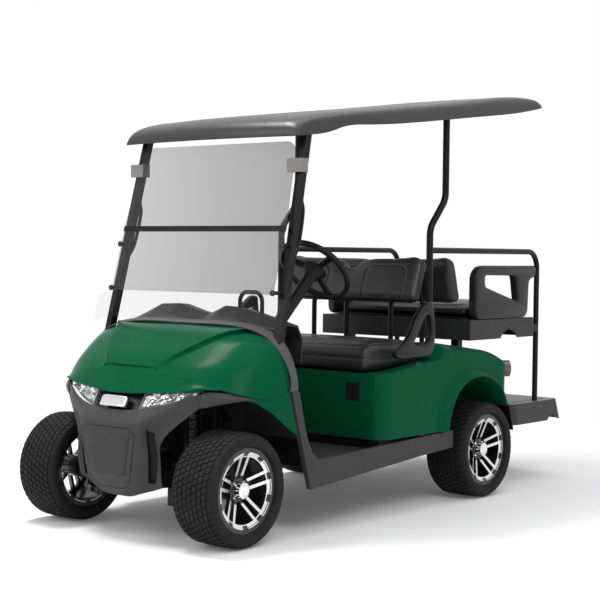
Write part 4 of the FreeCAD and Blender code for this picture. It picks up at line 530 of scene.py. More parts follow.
def tidy_normals(piece):
    """Turns all faces of a closed mesh outward."""
    mesh = bmesh.new()
    mesh.from_mesh(piece.data)
    bmesh.ops.recalc_face_normals(mesh, faces=mesh.faces[:])
    mesh.to_mesh(piece.data)
    mesh.free()


# The hood and the bumper follow the solids' stations, as smooth cages. Each row of shares gives
# (along, across, up), from the middle to the left.

HOOD_REAR_X = 0.972
HOOD_REAR_Z = 0.850
NOSE_X = 1.339
NOSE_Z = 0.602
BODY_HALF = 0.562
HOOD_SHARES = [
    [(-0.035, 0.00, 1.010), (-0.035, 0.30, 1.003), (-0.035, 0.575, 0.982), (-0.035, 0.64, 0.925),
     (-0.032, 0.82, 0.84), (-0.062, 0.94, 0.585), (-0.095, 0.998, 0.0)],
    [(0.00, 0.00, 0.995), (0.00, 0.30, 0.985), (0.00, 0.575, 0.967), (0.00, 0.64, 0.910),
     (0.003, 0.82, 0.83), (-0.027, 0.94, 0.575), (-0.06, 0.998, -0.01)],
    [(0.25, 0.00, 0.925), (0.25, 0.27, 0.92), (0.25, 0.515, 0.912), (0.25, 0.585, 0.845),
     (0.226, 0.755, 0.735), (0.20, 0.905, 0.435), (0.185, 0.99, -0.115)],
    [(0.54, 0.00, 0.705), (0.54, 0.20, 0.702), (0.54, 0.388, 0.690), (0.54, 0.455, 0.610),
     (0.518, 0.685, 0.475), (0.48, 0.835, 0.255), (0.44, 0.925, -0.055)],
    [(0.72, 0.00, 0.535), (0.72, 0.155, 0.532), (0.718, 0.305, 0.520), (0.715, 0.375, 0.447),
     (0.68, 0.585, 0.345), (0.63, 0.740, 0.205), (0.575, 0.855, 0.0)],
    [(0.832, 0.00, 0.385), (0.830, 0.125, 0.382), (0.820, 0.240, 0.372), (0.825, 0.318, 0.300),
     (0.79, 0.515, 0.230), (0.725, 0.672, 0.153), (0.655, 0.79, 0.056)],
    [(0.870, 0.00, 0.300), (0.866, 0.115, 0.298), (0.856, 0.215, 0.288), (0.850, 0.305, 0.262),
     (0.815, 0.495, 0.195), (0.755, 0.655, 0.130), (0.690, 0.765, 0.058)],
    [(1.00, 0.00, 0.00), (0.993, 0.09, 0.002), (0.987, 0.16, 0.004), (0.962, 0.244, 0.008),
     (0.90, 0.454, 0.028), (0.845, 0.614, 0.048), (0.79, 0.698, 0.064)],
    [(0.965, 0.00, -0.055), (0.958, 0.09, -0.053), (0.952, 0.16, -0.051), (0.927, 0.24, -0.047),
     (0.865, 0.446, -0.027), (0.81, 0.604, -0.007), (0.755, 0.688, 0.009)],
]
HOOD_MIDDLE = 6
RAISED_EDGE = (2, 3)
RAISED_FRONT = ((2, 3), (3, 2))
CREASE = 0.72
NOSE_CREASE = 0.85

FASCIA_FRONT_X = 1.410
FASCIA_DEPTH = 0.235
FASCIA_BOTTOM = 0.170
FASCIA_TOP = 0.522
FASCIA_HALF = 0.372
FASCIA_SHARES = [
    [(0.305, 0.00, 0.000), (0.30, 0.19, 0.006), (0.30, 0.34, 0.050), (0.375, 0.452, 0.086),
     (0.392, 0.555, 0.120), (0.375, 0.63, 0.148)],
    [(0.11, 0.00, 0.148), (0.115, 0.19, 0.160), (0.16, 0.366, 0.194), (0.277, 0.473, 0.216),
     (0.328, 0.56, 0.228), (0.315, 0.635, 0.250)],
    [(0.043, 0.00, 0.455), (0.047, 0.215, 0.460), (0.102, 0.403, 0.472), (0.23, 0.495, 0.477),
     (0.298, 0.576, 0.477), (0.285, 0.642, 0.483)],
    [(0.008, 0.00, 0.767), (0.013, 0.228, 0.773), (0.06, 0.435, 0.790), (0.204, 0.516, 0.761),
     (0.306, 0.597, 0.739), (0.32, 0.675, 0.724)],
    [(0.025, 0.00, 0.881), (0.038, 0.237, 0.886), (0.102, 0.462, 0.903), (0.247, 0.613, 0.926),
     (0.434, 0.82, 0.960), (0.587, 1.00, 1.045)],
    [(0.136, 0.00, 1.000), (0.162, 0.242, 1.003), (0.238, 0.444, 1.028), (0.374, 0.704, 1.085),
     (0.52, 0.93, 1.193), (0.787, 1.16, 1.222)],
]
RECESS_COLUMNS = (1, 8)
RECESS_ROWS = (1, 2)
RECESS_RIM = 0.002
RECESS_CREASE = 0.8
RECESS_DEPTH = 0.020
FIT_ROUNDS = 4
FIT_SHARE = 0.8
PANEL_LEVELS = 4


def shares_at(i, count):
    """What a line's points give to its smooth curve at one of them; the ends stay where they are."""
    return ((i - 1, 1 / 6), (i, 4 / 6), (i + 1, 1 / 6)) if 0 < i < count - 1 else ((i, 1.0),)


def fitted_cage(grid):
    """Moves a cage's points so that its smooth surface passes close to the grid."""
    rows = range(len(grid))
    columns = range(len(grid[0]))

    def surface(cage, i, j):
        return sum((cage[k][m] * (a * b) for k, a in shares_at(i, len(rows))
                    for m, b in shares_at(j, len(columns))), Vector((0, 0, 0)))
    cage = grid
    for _ in range(FIT_ROUNDS):
        cage = [[cage[i][j] + (grid[i][j] - surface(cage, i, j)) * FIT_SHARE for j in columns] for i in rows]
    return [point for row in cage for point in row]


def crease_lines(piece, columns, creases):
    """Keeps some lines of a cage crisp: a crease for each ((row, column), (row, column)) edge."""
    wanted = {tuple(sorted((a[0] * columns + a[1], b[0] * columns + b[1]))): value
              for a, b, value in creases}
    layer = piece.data.attributes.new("crease_edge", "FLOAT", "EDGE")
    for edge in piece.data.edges:
        layer.data[edge.index].value = wanted.get(tuple(sorted(edge.vertices)), 0.0)


def skin_panel(name, grid, material, creases=()):
    """A smooth panel over a grid of stations, with a wall's thickness behind it."""
    rows = len(grid)
    columns = len(grid[0])
    piece = add_piece(name, fitted_cage(grid), grid_faces(rows, columns), material, sharp=180.0)
    crease_lines(piece, columns, creases)
    corner_creases = piece.data.attributes.new("crease_vert", "FLOAT", "POINT")
    for vertex in (0, columns - 1, columns * (rows - 1), columns * rows - 1):
        corner_creases.data[vertex].value = 1.0
    subdivide(piece, PANEL_LEVELS)
    wall(piece)
    return piece


def make_hood():
    """The hood, with creases along its raised panel's edges and front, and along the nose."""
    length = NOSE_X - HOOD_REAR_X
    rise = HOOD_REAR_Z - NOSE_Z
    grid = [both_sides([(HOOD_REAR_X + a * length, b * BODY_HALF, NOSE_Z + c * rise) for a, b, c in row])
            for row in reversed(HOOD_SHARES)]
    creases = [((1, column), (1, column + 1), NOSE_CREASE) for column in range(HOOD_MIDDLE * 2)]
    for column in [HOOD_MIDDLE + side * step for side in (-1, 1) for step in RAISED_EDGE]:
        creases += [((row, column), (row + 1, column), CREASE)
                    for row in range(RAISED_FRONT[1][0], len(HOOD_SHARES) - 1)]
    for row, reach in RAISED_FRONT:
        creases += [((row, column), (row, column + 1), CREASE)
                    for column in range(HOOD_MIDDLE - reach, HOOD_MIDDLE + reach)]
    hood = skin_panel("hood_panel", grid, MATERIALS["green_body"], creases)
    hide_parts("front_hood")


def make_bumper():
    """The bumper with a black recess on each side of its grille."""
    height = FASCIA_TOP - FASCIA_BOTTOM
    grid = [both_sides([(FASCIA_FRONT_X - a * FASCIA_DEPTH, b * FASCIA_HALF, FASCIA_BOTTOM + c * height)
                        for a, b, c in row]) for row in FASCIA_SHARES]
    piece = skin_panel("bumper", grid, MATERIALS["grey_plastic"])
    piece.data.materials.append(MATERIALS["black_plastic"])
    columns = len(grid[0]) - 1
    mesh = bmesh.new()
    mesh.from_mesh(piece.data)
    mesh.faces.ensure_lookup_table()
    pockets = [[mesh.faces[row * columns + column] for row in RECESS_ROWS] for column in RECESS_COLUMNS]
    for pocket in pockets:
        rim = bmesh.ops.inset_region(mesh, faces=pocket, thickness=RECESS_RIM, depth=-RECESS_DEPTH)
        crease = mesh.edges.layers.float.get("crease_edge")
        for face in pocket + rim["faces"]:
            face.material_index = 1
            face.smooth = True
        for edge in {edge for face in rim["faces"] for edge in face.edges}:
            edge[crease] = RECESS_CREASE
    mesh.to_mesh(piece.data)
    mesh.free()
    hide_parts("front_fascia")
    return piece


make_hood()
bumper = make_bumper()
bumper_tree = BVHTree.FromObject(bumper, bpy.context.evaluated_depsgraph_get())


# What lies on the bumper: (y, z) outlines, seen from the front

GRILLE_OUTLINE = [(-0.090, 0.262), (0.090, 0.262), (0.132, 0.440), (-0.132, 0.440)]
GRILLE_COLUMNS = 16
GRILLE_ROWS = 12
GRILLE_LIFT = 0.0012
GRILLE_WALL = 0.003
PANEL_LINE_OUTER = [(-0.104, 0.206), (0.104, 0.206), (0.160, 0.455), (-0.160, 0.455)]
PANEL_LINE_MIDDLE = Vector((0.0, 0.33))
PANEL_LINE_ROUND = 0.055
PANEL_LINE_WIDTH = 0.0035
PANEL_LINE_LIFT = 0.0008
RAY_START_X = 2.0


def on_bumper(y, z, lift):
    """The bumper's surface at a place seen from the front, a little proud."""
    place, _, _, _ = bumper_tree.ray_cast(Vector((RAY_START_X, y, z)), Vector((-1, 0, 0)))
    return place + Vector((lift, 0, 0))


def make_grille():
    """The perforated field in the middle of the bumper, its holes painted shade on shallow dents."""
    (y0, z0), (y1, z1), (y2, z2), (y3, z3) = GRILLE_OUTLINE
    points = []
    for i in range(GRILLE_ROWS + 1):
        for j in range(GRILLE_COLUMNS + 1):
            u = j / GRILLE_COLUMNS
            v = i / GRILLE_ROWS
            y = (y0 * (1 - u) + y1 * u) * (1 - v) + (y3 * (1 - u) + y2 * u) * v
            z = (z0 * (1 - u) + z1 * u) * (1 - v) + (z3 * (1 - u) + z2 * u) * v
            points.append(on_bumper(y, z, GRILLE_LIFT))
    piece = add_piece("bumper_grille", points, grid_faces(GRILLE_ROWS + 1, GRILLE_COLUMNS + 1), GRILLE)
    wall(piece, GRILLE_WALL)


SIDE_REACH = 0.45


def rounded(outline, radius, steps=5):
    """An outline of flat points with its corners rounded as far as the sides allow."""
    points = []
    for i in range(len(outline)):
        corner = Vector(outline[i])
        before = Vector(outline[i - 1]) - corner
        after = Vector(outline[(i + 1) % len(outline)]) - corner
        reach = min(radius, before.length * SIDE_REACH, after.length * SIDE_REACH)
        start = corner + before.normalized() * reach
        end = corner + after.normalized() * reach
        for step in range(steps + 1):
            t = step / steps
            points.append(start * (1 - t) ** 2 + corner * 2 * t * (1 - t) + end * t * t)
    return points


def make_panel_line():
    """The dark joint round the grille's panel, following the bumper."""
    outline = rounded(PANEL_LINE_OUTER, PANEL_LINE_ROUND, 6)
    line = [corner.lerp(outline[(i + 1) % len(outline)], step / 4)
            for i, corner in enumerate(outline) for step in range(4)]
    points = []
    for inward in (0.0, PANEL_LINE_WIDTH):
        for flat in line:
            flat = flat + (PANEL_LINE_MIDDLE - flat).normalized() * inward
            points.append(on_bumper(flat.x, flat.y, PANEL_LINE_LIFT))
    piece = add_piece("bumper_panel_line", points, grid_faces(2, len(line), closed=True),
                      MATERIALS["black_plastic"])


make_grille()
make_panel_line()


# The hood's legs behind the front arches, as (x, z) outlines

LEG_OUTLINE = [(0.880, 0.414), (0.937, 0.596), (0.951, 0.602), (0.980, 0.592), (1.010, 0.583), (1.040, 0.579),
               (1.080, 0.578), (1.133, 0.588), (1.158, 0.579), (1.106, 0.562), (1.044, 0.524), (0.961, 0.462)]
LEG_FACE = 0.5605
LEG_WALL = 0.004
LEG_EDGE = 0.0012
LEG_TURN_X = 1.0
LEG_TURN_SPAN = 0.158
LEG_TURN_IN = 0.058
LEG_TURN_POWER = 1.6


def turn_in(piece):
    """Bends a piece's front ends inward, along the hood's edge."""
    for vertex in piece.data.vertices:
        ahead = max(0.0, (vertex.co.x - LEG_TURN_X) / LEG_TURN_SPAN)
        vertex.co.y -= math.copysign(LEG_TURN_IN * ahead ** LEG_TURN_POWER, vertex.co.y)


def make_legs():
    points = []
    faces = []
    count = len(LEG_OUTLINE)
    for side in (1, -1):
        near = list(range(len(points), len(points) + count))
        far = [index + count for index in near]
        for y in (LEG_FACE - LEG_WALL, LEG_FACE):
            points += [Vector((x, y * side, z)) for x, z in LEG_OUTLINE]
        faces += [near, far[::-1]]
        faces += [(near[i - 1], far[i - 1], far[i], near[i]) for i in range(count)]
    piece = add_piece("cowl_legs", points, faces, MATERIALS["green_body"], sharp=30.0)
    tidy_normals(piece)
    turn_in(piece)
    soften(piece, LEG_EDGE)
    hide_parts("cowl_sides")


make_legs()


# The rear body: its deck falls by one amount towards the fenders and by another at the tail

SHOULDER_START = 0.46
SHOULDER_SPAN = 0.102
SHOULDER_FALL = 0.034
TAIL_START = 0.60
TAIL_SPAN = 0.148
TAIL_FALL = 0.040
FALL_LOW = 0.52
FALL_SPAN = 0.14
FALL_AHEAD = 0.06
FALL_AHEAD_SPAN = 0.16
BODY_EDGE = 0.0025
BODY_CUTS = ([((0, side * y, 0), (0, 1, 0)) for side in (-1, 1) for y in (0.46, 0.485, 0.51, 0.535)]
             + [((x, 0, 0), (1, 0, 0)) for x in (-0.10, -0.15, -0.22, -0.60, -0.64, -0.68, -0.715)]
             + [((0, 0, z), (0, 0, 1)) for z in (0.52, 0.555, 0.59, 0.625)])


def ramped(value, start, span):
    """0 up to a start and 1 past a span beyond it."""
    return min(1.0, max(0.0, (value - start) / span))


def make_rear_body():
    mesh = bmesh.new()
    mesh.from_mesh(nodes["rear_body"].data)
    bmesh.ops.remove_doubles(mesh, verts=mesh.verts[:], dist=WELD_REACH)
    for place, normal in BODY_CUTS:
        bmesh.ops.bisect_plane(mesh, geom=mesh.verts[:] + mesh.edges[:] + mesh.faces[:],
                               plane_co=place, plane_no=normal)
    for vertex in mesh.verts:
        x, y, z = vertex.co
        side = ramped(abs(y), SHOULDER_START, SHOULDER_SPAN)
        tail = ramped(-x, TAIL_START, TAIL_SPAN)
        share = ramped(z, FALL_LOW, FALL_SPAN) * ramped(-x, FALL_AHEAD, FALL_AHEAD_SPAN)
        vertex.co.z -= share * (SHOULDER_FALL * side ** 2 + TAIL_FALL * tail ** 2)
    data = bpy.data.meshes.new("rear_body_panel")
    mesh.to_mesh(data)
    mesh.free()
    piece = adopt("rear_body_panel", data)
    data.materials.append(MATERIALS["green_body"])
    shade_smooth(data, 32.0)
    bevel_edges(piece, BODY_EDGE, 50.0)
    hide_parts("rear_body")


make_rear_body()


# Tyres: a smooth carcass with slanted rows of blocks. Profiles are (across, radius).

TYRE_RADIUS = 0.2275
TREAD_FLOOR = 0.0065
TREAD_ROWS = 7
TREAD_HALF = 0.086
CROWN_FALL = 0.003
BLOCKS_ROUND = 54
BLOCK_FILL_ACROSS = 0.82
BLOCK_FILL_ROUND = 0.80
BLOCK_SLANT = 0.32
BLOCK_ROOT = 0.002
SHOULDER_REACH = 0.102
SHOULDER_DROP = 0.0115
SHOULDER_GAP = 0.0015
SHOULDER_STEP = 0.0005
SHOULDER_ROOT = 0.009
SHOULDER_FILLS = (0.26, 0.34)
WHEEL_SEGMENTS = 96
CARCASS_PROFILE = [
    (0.082, 0.150), (0.088, 0.1685), (0.0965, 0.1705), (0.1025, 0.176), (0.1045, 0.1765), (0.1055, 0.186),
    (0.1068, 0.196), (0.1060, 0.2045), (0.1030, 0.2120), (0.0965, 0.2165), (0.086, 0.2192), (0.045, 0.2208),
    (0.0, 0.2212), (-0.045, 0.2208), (-0.086, 0.2192), (-0.0965, 0.2165), (-0.1030, 0.2120),
    (-0.1060, 0.2045), (-0.1068, 0.196), (-0.1055, 0.186), (-0.1025, 0.176), (-0.0965, 0.1705),
    (-0.088, 0.1685), (-0.082, 0.150),
]
CAP_PROFILE = [(0.050, 0.034), (0.076, 0.0335), (0.0815, 0.0315), (0.0835, 0.0265), (0.0835, 0.0180),
               (0.0825, 0.0170), (0.0825, 0.0)]
CAP_SEGMENTS = 48
LUG_CIRCLE = 0.0405
LUG_RADIUS = 0.0045
LUG_PROFILE = [(0.046, LUG_RADIUS), (0.0545, LUG_RADIUS), (0.056, LUG_RADIUS * 0.7), (0.056, 0.0)]
LUGS = 4


def crown(across):
    """The tread's outer radius at a place across it."""
    return TYRE_RADIUS - CROWN_FALL * (across / TREAD_HALF) ** 2


def add_block(points, faces, centre, side, corners):
    """One tread block from four corners of (across, turn, top radius, floor radius)."""
    start = len(points)
    for level in (3, 2):
        for corner in corners:
            across, turn = corner[:2]
            points.append(centre + Vector((corner[level] * math.cos(turn), across * side,
                                           corner[level] * math.sin(turn))))
    faces.append((start + 4, start + 5, start + 6, start + 7))
    for i in range(4):
        j = (i + 1) % 4
        faces.append((start + i, start + j, start + 4 + j, start + 4 + i))


def make_tyre(corner, side):
    centre = middle_of("tyre_" + corner)
    points = lathed(CARCASS_PROFILE, centre, WHEEL_SEGMENTS, side)
    faces = grid_faces(len(CARCASS_PROFILE), WHEEL_SEGMENTS, closed=True)
    pitch = math.tau / BLOCKS_ROUND
    row_width = TREAD_HALF * 2 / TREAD_ROWS
    half = row_width * BLOCK_FILL_ACROSS / 2
    reach = pitch * BLOCK_FILL_ROUND / 2
    lean = pitch * BLOCK_SLANT / 2
    for row in range(TREAD_ROWS):
        middle = (row + 0.5) * row_width - TREAD_HALF
        for step in range(BLOCKS_ROUND):
            turn = (step + 0.5 * (row % 2)) * pitch
            corners = []
            for a, b in ((-1, -1), (1, -1), (1, 1), (-1, 1)):
                across = middle + a * half
                corners.append((across, turn + b * reach + a * lean, crown(across),
                                crown(across) - TREAD_FLOOR - BLOCK_ROOT))
            add_block(points, faces, centre, side, corners)
    for edge in (-1, 1):
        for step in range(BLOCKS_ROUND):
            turn = (step + 0.25) * pitch
            corners = []
            for a, b in ((0, -1), (1, -1), (1, 1), (0, 1)):
                across = edge * (TREAD_HALF + SHOULDER_GAP + a * (SHOULDER_REACH - TREAD_HALF))
                top = crown(TREAD_HALF) - (SHOULDER_DROP if a else SHOULDER_STEP)
                corners.append((across, turn + b * pitch * SHOULDER_FILLS[step % 2], top,
                                top - SHOULDER_ROOT))
            add_block(points, faces, centre, side, corners)
    piece = add_piece("tyre_tread_" + corner, points, faces, MATERIALS["tyre"], "wheel_" + corner, 35.0)
    tidy_normals(piece)
    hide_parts("tyre_" + corner)


def make_cap(corner, side):
    """The chrome centre cap with its stepped face and a ring of lug nuts round its foot."""
    centre = middle_of("tyre_" + corner)
    points = lathed(CAP_PROFILE, centre, CAP_SEGMENTS, side)
    faces = grid_faces(len(CAP_PROFILE), CAP_SEGMENTS, closed=True)
    for step in range(LUGS):
        turn = math.tau * (step + 0.5) / LUGS
        nut = centre + Vector((LUG_CIRCLE * math.cos(turn), 0, LUG_CIRCLE * math.sin(turn)))
        start = len(points)
        points += lathed(LUG_PROFILE, nut, 6, side)
        faces += [tuple(start + index for index in face) for face in grid_faces(4, 6, closed=True)]
    piece = add_piece("wheel_cap_" + corner, points, faces, CHROME, "wheel_" + corner, 30.0)


for corner, side in CORNERS.items():
    make_tyre(corner, side)
    make_cap(corner, side)


# Seats: padded forms from the CAD solids, filled out with cloth, then stitched

PRESSURE = 4.0
CLOTH_STIFFNESS = 25.0
CLOTH_FRAMES = 20
SEAM_WIDTH = 0.0045
SEAM_DEPTH = 0.0040
CUSHION_INSET = 0.045
CUSHION_ROUND = 0.05
SEAT_PANEL_ROUND = 0.04
SEAT_PANEL_BACK = 0.02
TOP_SEAM_FACING = 0.3
BACK_HEIGHT = 0.245
BACK_HALF = 0.424
BACK_SIDE_LINE = 0.036
BACK_SEAM_FACING = 0.35
# Shares of a backrest's half width and of its height
BACK_PANEL_MIDDLE = (0.53, 0.30)
BACK_PANEL_HALF = (0.27, 0.46)
BACK_PANEL_ROUND = 0.045
HUMP_DIP = 0.034
HUMP_SPREAD = 0.075
END_ROUND = 0.070
END_DROP = 0.045
END_POWER = 2.2
END_LIFT = 0.4
CROWN_RISE = 0.014
FRONT_ROLL = 0.030
ROLL_START = 0.55


def apply_modifiers(piece):
    """Keeps a piece's evaluated mesh and drops its modifiers."""
    graph = bpy.context.evaluated_depsgraph_get()
    mesh = bpy.data.meshes.new_from_object(piece.evaluated_get(graph), depsgraph=graph)
    piece.modifiers.clear()
    piece.data = mesh


def remeshed(name, node, body, voxel, shrink):
    """A node's own form as an even mesh, drawn in a little on all sides."""
    piece = adopt(name, bpy.data.meshes.new_from_object(nodes[node]), body)
    modify(piece, "REMESH", mode="VOXEL", voxel_size=voxel)
    modify(piece, "SMOOTH", iterations=6, factor=0.5)
    modify(piece, "DISPLACE", strength=-shrink, mid_level=0.0)
    apply_modifiers(piece)
    set_material(piece.data, MATERIALS["seat_vinyl"])
    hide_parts(node)
    return piece


def inflate(piece, cap):
    """Fills a pad out with a pressure cloth; no point moves further than the cap."""
    start = [vertex.co.copy() for vertex in piece.data.vertices]
    settings = modify(piece, "CLOTH").settings
    settings.use_pressure = True
    settings.uniform_pressure_force = PRESSURE
    settings.tension_stiffness = CLOTH_STIFFNESS
    settings.compression_stiffness = CLOTH_STIFFNESS
    settings.bending_stiffness = 1.0
    settings.effector_weights.gravity = 0.0
    for number in range(1, CLOTH_FRAMES + 1):
        bpy.context.scene.frame_set(number)
    apply_modifiers(piece)
    for vertex, place in zip(piece.data.vertices, start):
        move = vertex.co - place
        if move.length > cap:
            vertex.co = place + move * (cap / move.length)
    bpy.context.scene.frame_set(1)
    subdivide(piece, 1)
    apply_modifiers(piece)
    for polygon in piece.data.polygons:
        polygon.use_smooth = True


def stitched(piece, distance):
    """Presses a seam into a pad: distance gives how far a point is from the seam's line."""
    normals = [vertex.normal.copy() for vertex in piece.data.vertices]
    for vertex, normal in zip(piece.data.vertices, normals):
        away = distance(vertex.co, normal)
        if away is not None and away < SEAM_WIDTH * 3:
            vertex.co -= normal * SEAM_DEPTH * math.exp(-(away / SEAM_WIDTH) ** 2)


def frame_distance(u, v, half_u, half_v, radius):
    """How far a point is from a rounded rectangle's line about the origin."""
    a = abs(u) - (half_u - radius)
    b = abs(v) - (half_v - radius)
    return abs(math.hypot(max(a, 0.0), max(b, 0.0)) + min(max(a, b), 0.0) - radius)


def cushion_seams(middle, half):
    """The line round a cushion's top, a panel on each seat, and the piping round its side."""
    def distance(place, normal):
        shift = place - middle
        if normal.z < TOP_SEAM_FACING:
            return abs(shift.z) if normal.z > -TOP_SEAM_FACING else None
        ring = frame_distance(shift.x, shift.y, half.x - CUSHION_INSET, half.y - CUSHION_INSET,
                              CUSHION_ROUND)
        inner = frame_distance(shift.x + SEAT_PANEL_BACK, abs(shift.y) - half.y / 2,
                               half.x - CUSHION_INSET * 2, half.y / 2 - CUSHION_INSET * 1.6,
                               SEAT_PANEL_ROUND)
        return min(ring, inner)
    return distance


def back_seams(foot, lean, facing):
    """The lines on a backrest: an inset panel on each side, and the side piping."""
    lean = math.radians(lean)
    rise = Vector((-math.sin(lean) * facing, 0, math.cos(lean)))
    out = Vector((math.cos(lean) * facing, 0, math.sin(lean)))

    def distance(place, normal):
        shift = place - Vector(foot)
        facing_out = normal.dot(out)
        if facing_out > BACK_SEAM_FACING:
            return frame_distance(abs(place.y) - BACK_HALF * BACK_PANEL_MIDDLE[0],
                                  shift.dot(rise) - BACK_HEIGHT * BACK_PANEL_MIDDLE[1],
                                  BACK_HALF * BACK_PANEL_HALF[0], BACK_HEIGHT * BACK_PANEL_HALF[1],
                                  BACK_PANEL_ROUND)
        return abs(shift.dot(out) + BACK_SIDE_LINE) if abs(facing_out) < BACK_SEAM_FACING else None
    return distance


def round_back(pad, low, high):
    """Two humps along a backrest's top, with a dip between them and rounded ends."""
    height = high.z - low.z
    for vertex in pad.data.vertices:
        share = max(0.0, (vertex.co.z - low.z) / height)
        across = abs(vertex.co.y)
        end = END_DROP * max(0.0, (across - (high.y - END_ROUND)) / END_ROUND) ** END_POWER
        dip = HUMP_DIP * math.exp(-(across / HUMP_SPREAD) ** 2)
        vertex.co.z -= (dip + end) * share ** 3
        vertex.co.z += END_LIFT * end * max(0.0, 1.0 - share * 3)


def crown_cushion(pad, middle, half):
    """Lifts a cushion's middle and rolls its front edge down."""
    for vertex in pad.data.vertices:
        u = (vertex.co.x - middle.x) / half.x
        v = (vertex.co.y - middle.y) / half.y
        upper = max(0.0, (vertex.co.z - middle.z) / half.z)
        lift = CROWN_RISE * max(0.0, 1.0 - u * u) * max(0.0, 1.0 - v ** 4)
        roll = FRONT_ROLL * max(0.0, u - ROLL_START) ** 2 * 4
        vertex.co.z += upper * (lift - roll)


# Name, node, body, voxel, how far it is drawn in, the cloth's cap, and a backrest's foot, lean and facing
SEATS = [
    ("front_cushion", "front_seat_cushion", "chassis", 0.0115, 0.010, 0.012, None),
    ("front_backrest", "front_seat_back", "chassis", 0.0095, 0.007, 0.010, ((-0.112, 0, 0.925), 20, 1)),
    ("rear_backrest", "rear_seat_back", "chassis", 0.0095, 0.007, 0.010, ((-0.545, 0, 0.915), 14, -1)),
    ("rear_cushion", "rear_seat_cushion", "rear_seat", 0.0105, 0.006, 0.009, None),
]
for name, node, body, voxel, shrink, cap, back in SEATS:
    low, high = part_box(node)
    middle = (low + high) / 2
    half = (high - low) / 2
    pad = remeshed(name, node, body, voxel, shrink)
    if back:
        round_back(pad, low, high)
    else:
        crown_cushion(pad, middle, half)
    inflate(pad, cap)
    stitched(pad, back_seams(*back) if back else cushion_seams(middle, half))


# Lamps, tubes and mouldings

LAMP_LOW = [(0.205, 0.352, 0.880), (0.375, 0.67, 0.915), (0.59, 0.985, 0.980)]
LAMP_HIGH = [(0.38, 0.352, 0.986), (0.493, 0.67, 0.992), (0.595, 0.985, 1.004)]
LAMP_ROWS = 9
LAMP_COLUMNS = 24
LAMP_POCKETS = 3
LAMP_SETBACK = 0.008
POCKET_DEPTH = 0.010
FACET_STEP = 0.0015


def lamp_place(share):
    a, b, c = share
    return Vector((FASCIA_FRONT_X - a * FASCIA_DEPTH, b * FASCIA_HALF, c * NOSE_Z))


def make_reflector(name, side):
    """The faceted bright bowl behind a headlight's lens: three pockets with dark lips between them."""
    points = []
    low = [lamp_place(share) for share in LAMP_LOW]
    high = [lamp_place(share) for share in LAMP_HIGH]
    for i in range(LAMP_ROWS):
        v = i / (LAMP_ROWS - 1)
        for j in range(LAMP_COLUMNS):
            along = j / (LAMP_COLUMNS - 1)
            u = (0.04 + 0.92 * along) * 2
            k = min(int(u), 1)
            place = low[k].lerp(low[k + 1], u - k).lerp(high[k].lerp(high[k + 1], u - k), 0.10 + 0.80 * v)
            pocket = math.sin(math.pi * v) * abs(math.sin(math.pi * LAMP_POCKETS * along))
            place.x -= LAMP_SETBACK + POCKET_DEPTH * pocket + (FACET_STEP if (i + j) % 2 else 0.0)
            place.y *= side
            points.append(place)
    piece = add_piece(name, points, turned(grid_faces(LAMP_ROWS, LAMP_COLUMNS), side), REFLECTOR, sharp=12.0)


STRUT_FOOT = Vector((0.940, 0.495, 0.757))
STRUT_TOP = Vector((0.735, 0.462, 1.627))
GRAB_TUBE_RADIUS = 0.008
# Places along a front strut's length, and how far out towards the seats
GRAB_TUBE = [(0.42, 0.012), (0.46, 0.040), (0.54, 0.046), (0.62, 0.046), (0.68, 0.040), (0.72, 0.012)]


def make_grab_tube(name, side):
    """A round grab bar beside a front strut."""
    curve = bpy.data.curves.new(name, "CURVE")
    curve.dimensions = "3D"
    curve.bevel_depth = GRAB_TUBE_RADIUS
    curve.bevel_resolution = 4
    curve.use_fill_caps = True
    spline = curve.splines.new("NURBS")
    spline.points.add(len(GRAB_TUBE) - 1)
    for point, (share, out) in zip(spline.points, GRAB_TUBE):
        x, y, z = STRUT_FOOT.lerp(STRUT_TOP, share)
        point.co = (x - out, y * side, z, 1.0)
    spline.order_u = 3
    spline.use_endpoint_u = True
    spline.resolution_u = 12
    curve.materials.append(MATERIALS["black_steel"])
    adopt(name, curve)


NOSE_POST_X = 1.18
NOSE_POST_DROP = 0.030
NOSE_POST_HIGH = 0.64
POST_EDGE = 0.002


def make_posts():
    """The cowl's frame and the nose posts, which end a little lower under the hood's curve."""
    piece = adopt("cowl_posts", bpy.data.meshes.new_from_object(nodes["front_posts"]))
    for vertex in piece.data.vertices:
        if vertex.co.x > NOSE_POST_X and vertex.co.z > NOSE_POST_HIGH:
            vertex.co.z -= NOSE_POST_DROP
    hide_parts("front_posts")
    soften(piece, POST_EDGE)


def make_linings():
    """The wheel arches' linings, with their front ends turned in behind the bumper's wings."""
    piece = adopt("arch_linings", bpy.data.meshes.new_from_object(nodes["wheel_wells"]))
    turn_in(piece)
    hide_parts("wheel_wells")


# The bumper's wings under the hood's lower edge, from the lamps back to the arch
WING_LOW = [(1.268, 0.371, 0.537), (1.238, 0.425, 0.553), (1.200, 0.478, 0.567), (1.150, 0.507, 0.573),
            (1.098, 0.529, 0.571)]
WING_HIGH = [(1.262, 0.380, 0.607), (1.222, 0.432, 0.607), (1.178, 0.476, 0.601), (1.132, 0.511, 0.590),
             (1.092, 0.531, 0.577)]
WING_BULGE = Vector((0.006, 0.006, 0))


def make_wing(name, side):
    points = []
    for share in (0.0, 0.25, 0.5, 0.75, 1.0):
        for low, high in zip(WING_LOW, WING_HIGH):
            x, y, z = Vector(low).lerp(Vector(high), share) + WING_BULGE * math.sin(math.pi * share)
            points.append((x, y * side, z))
    piece = add_piece(name, points, turned(grid_faces(5, 5), side), MATERIALS["grey_plastic"], sharp=180.0)
    subdivide(piece, 2)
    wall(piece)


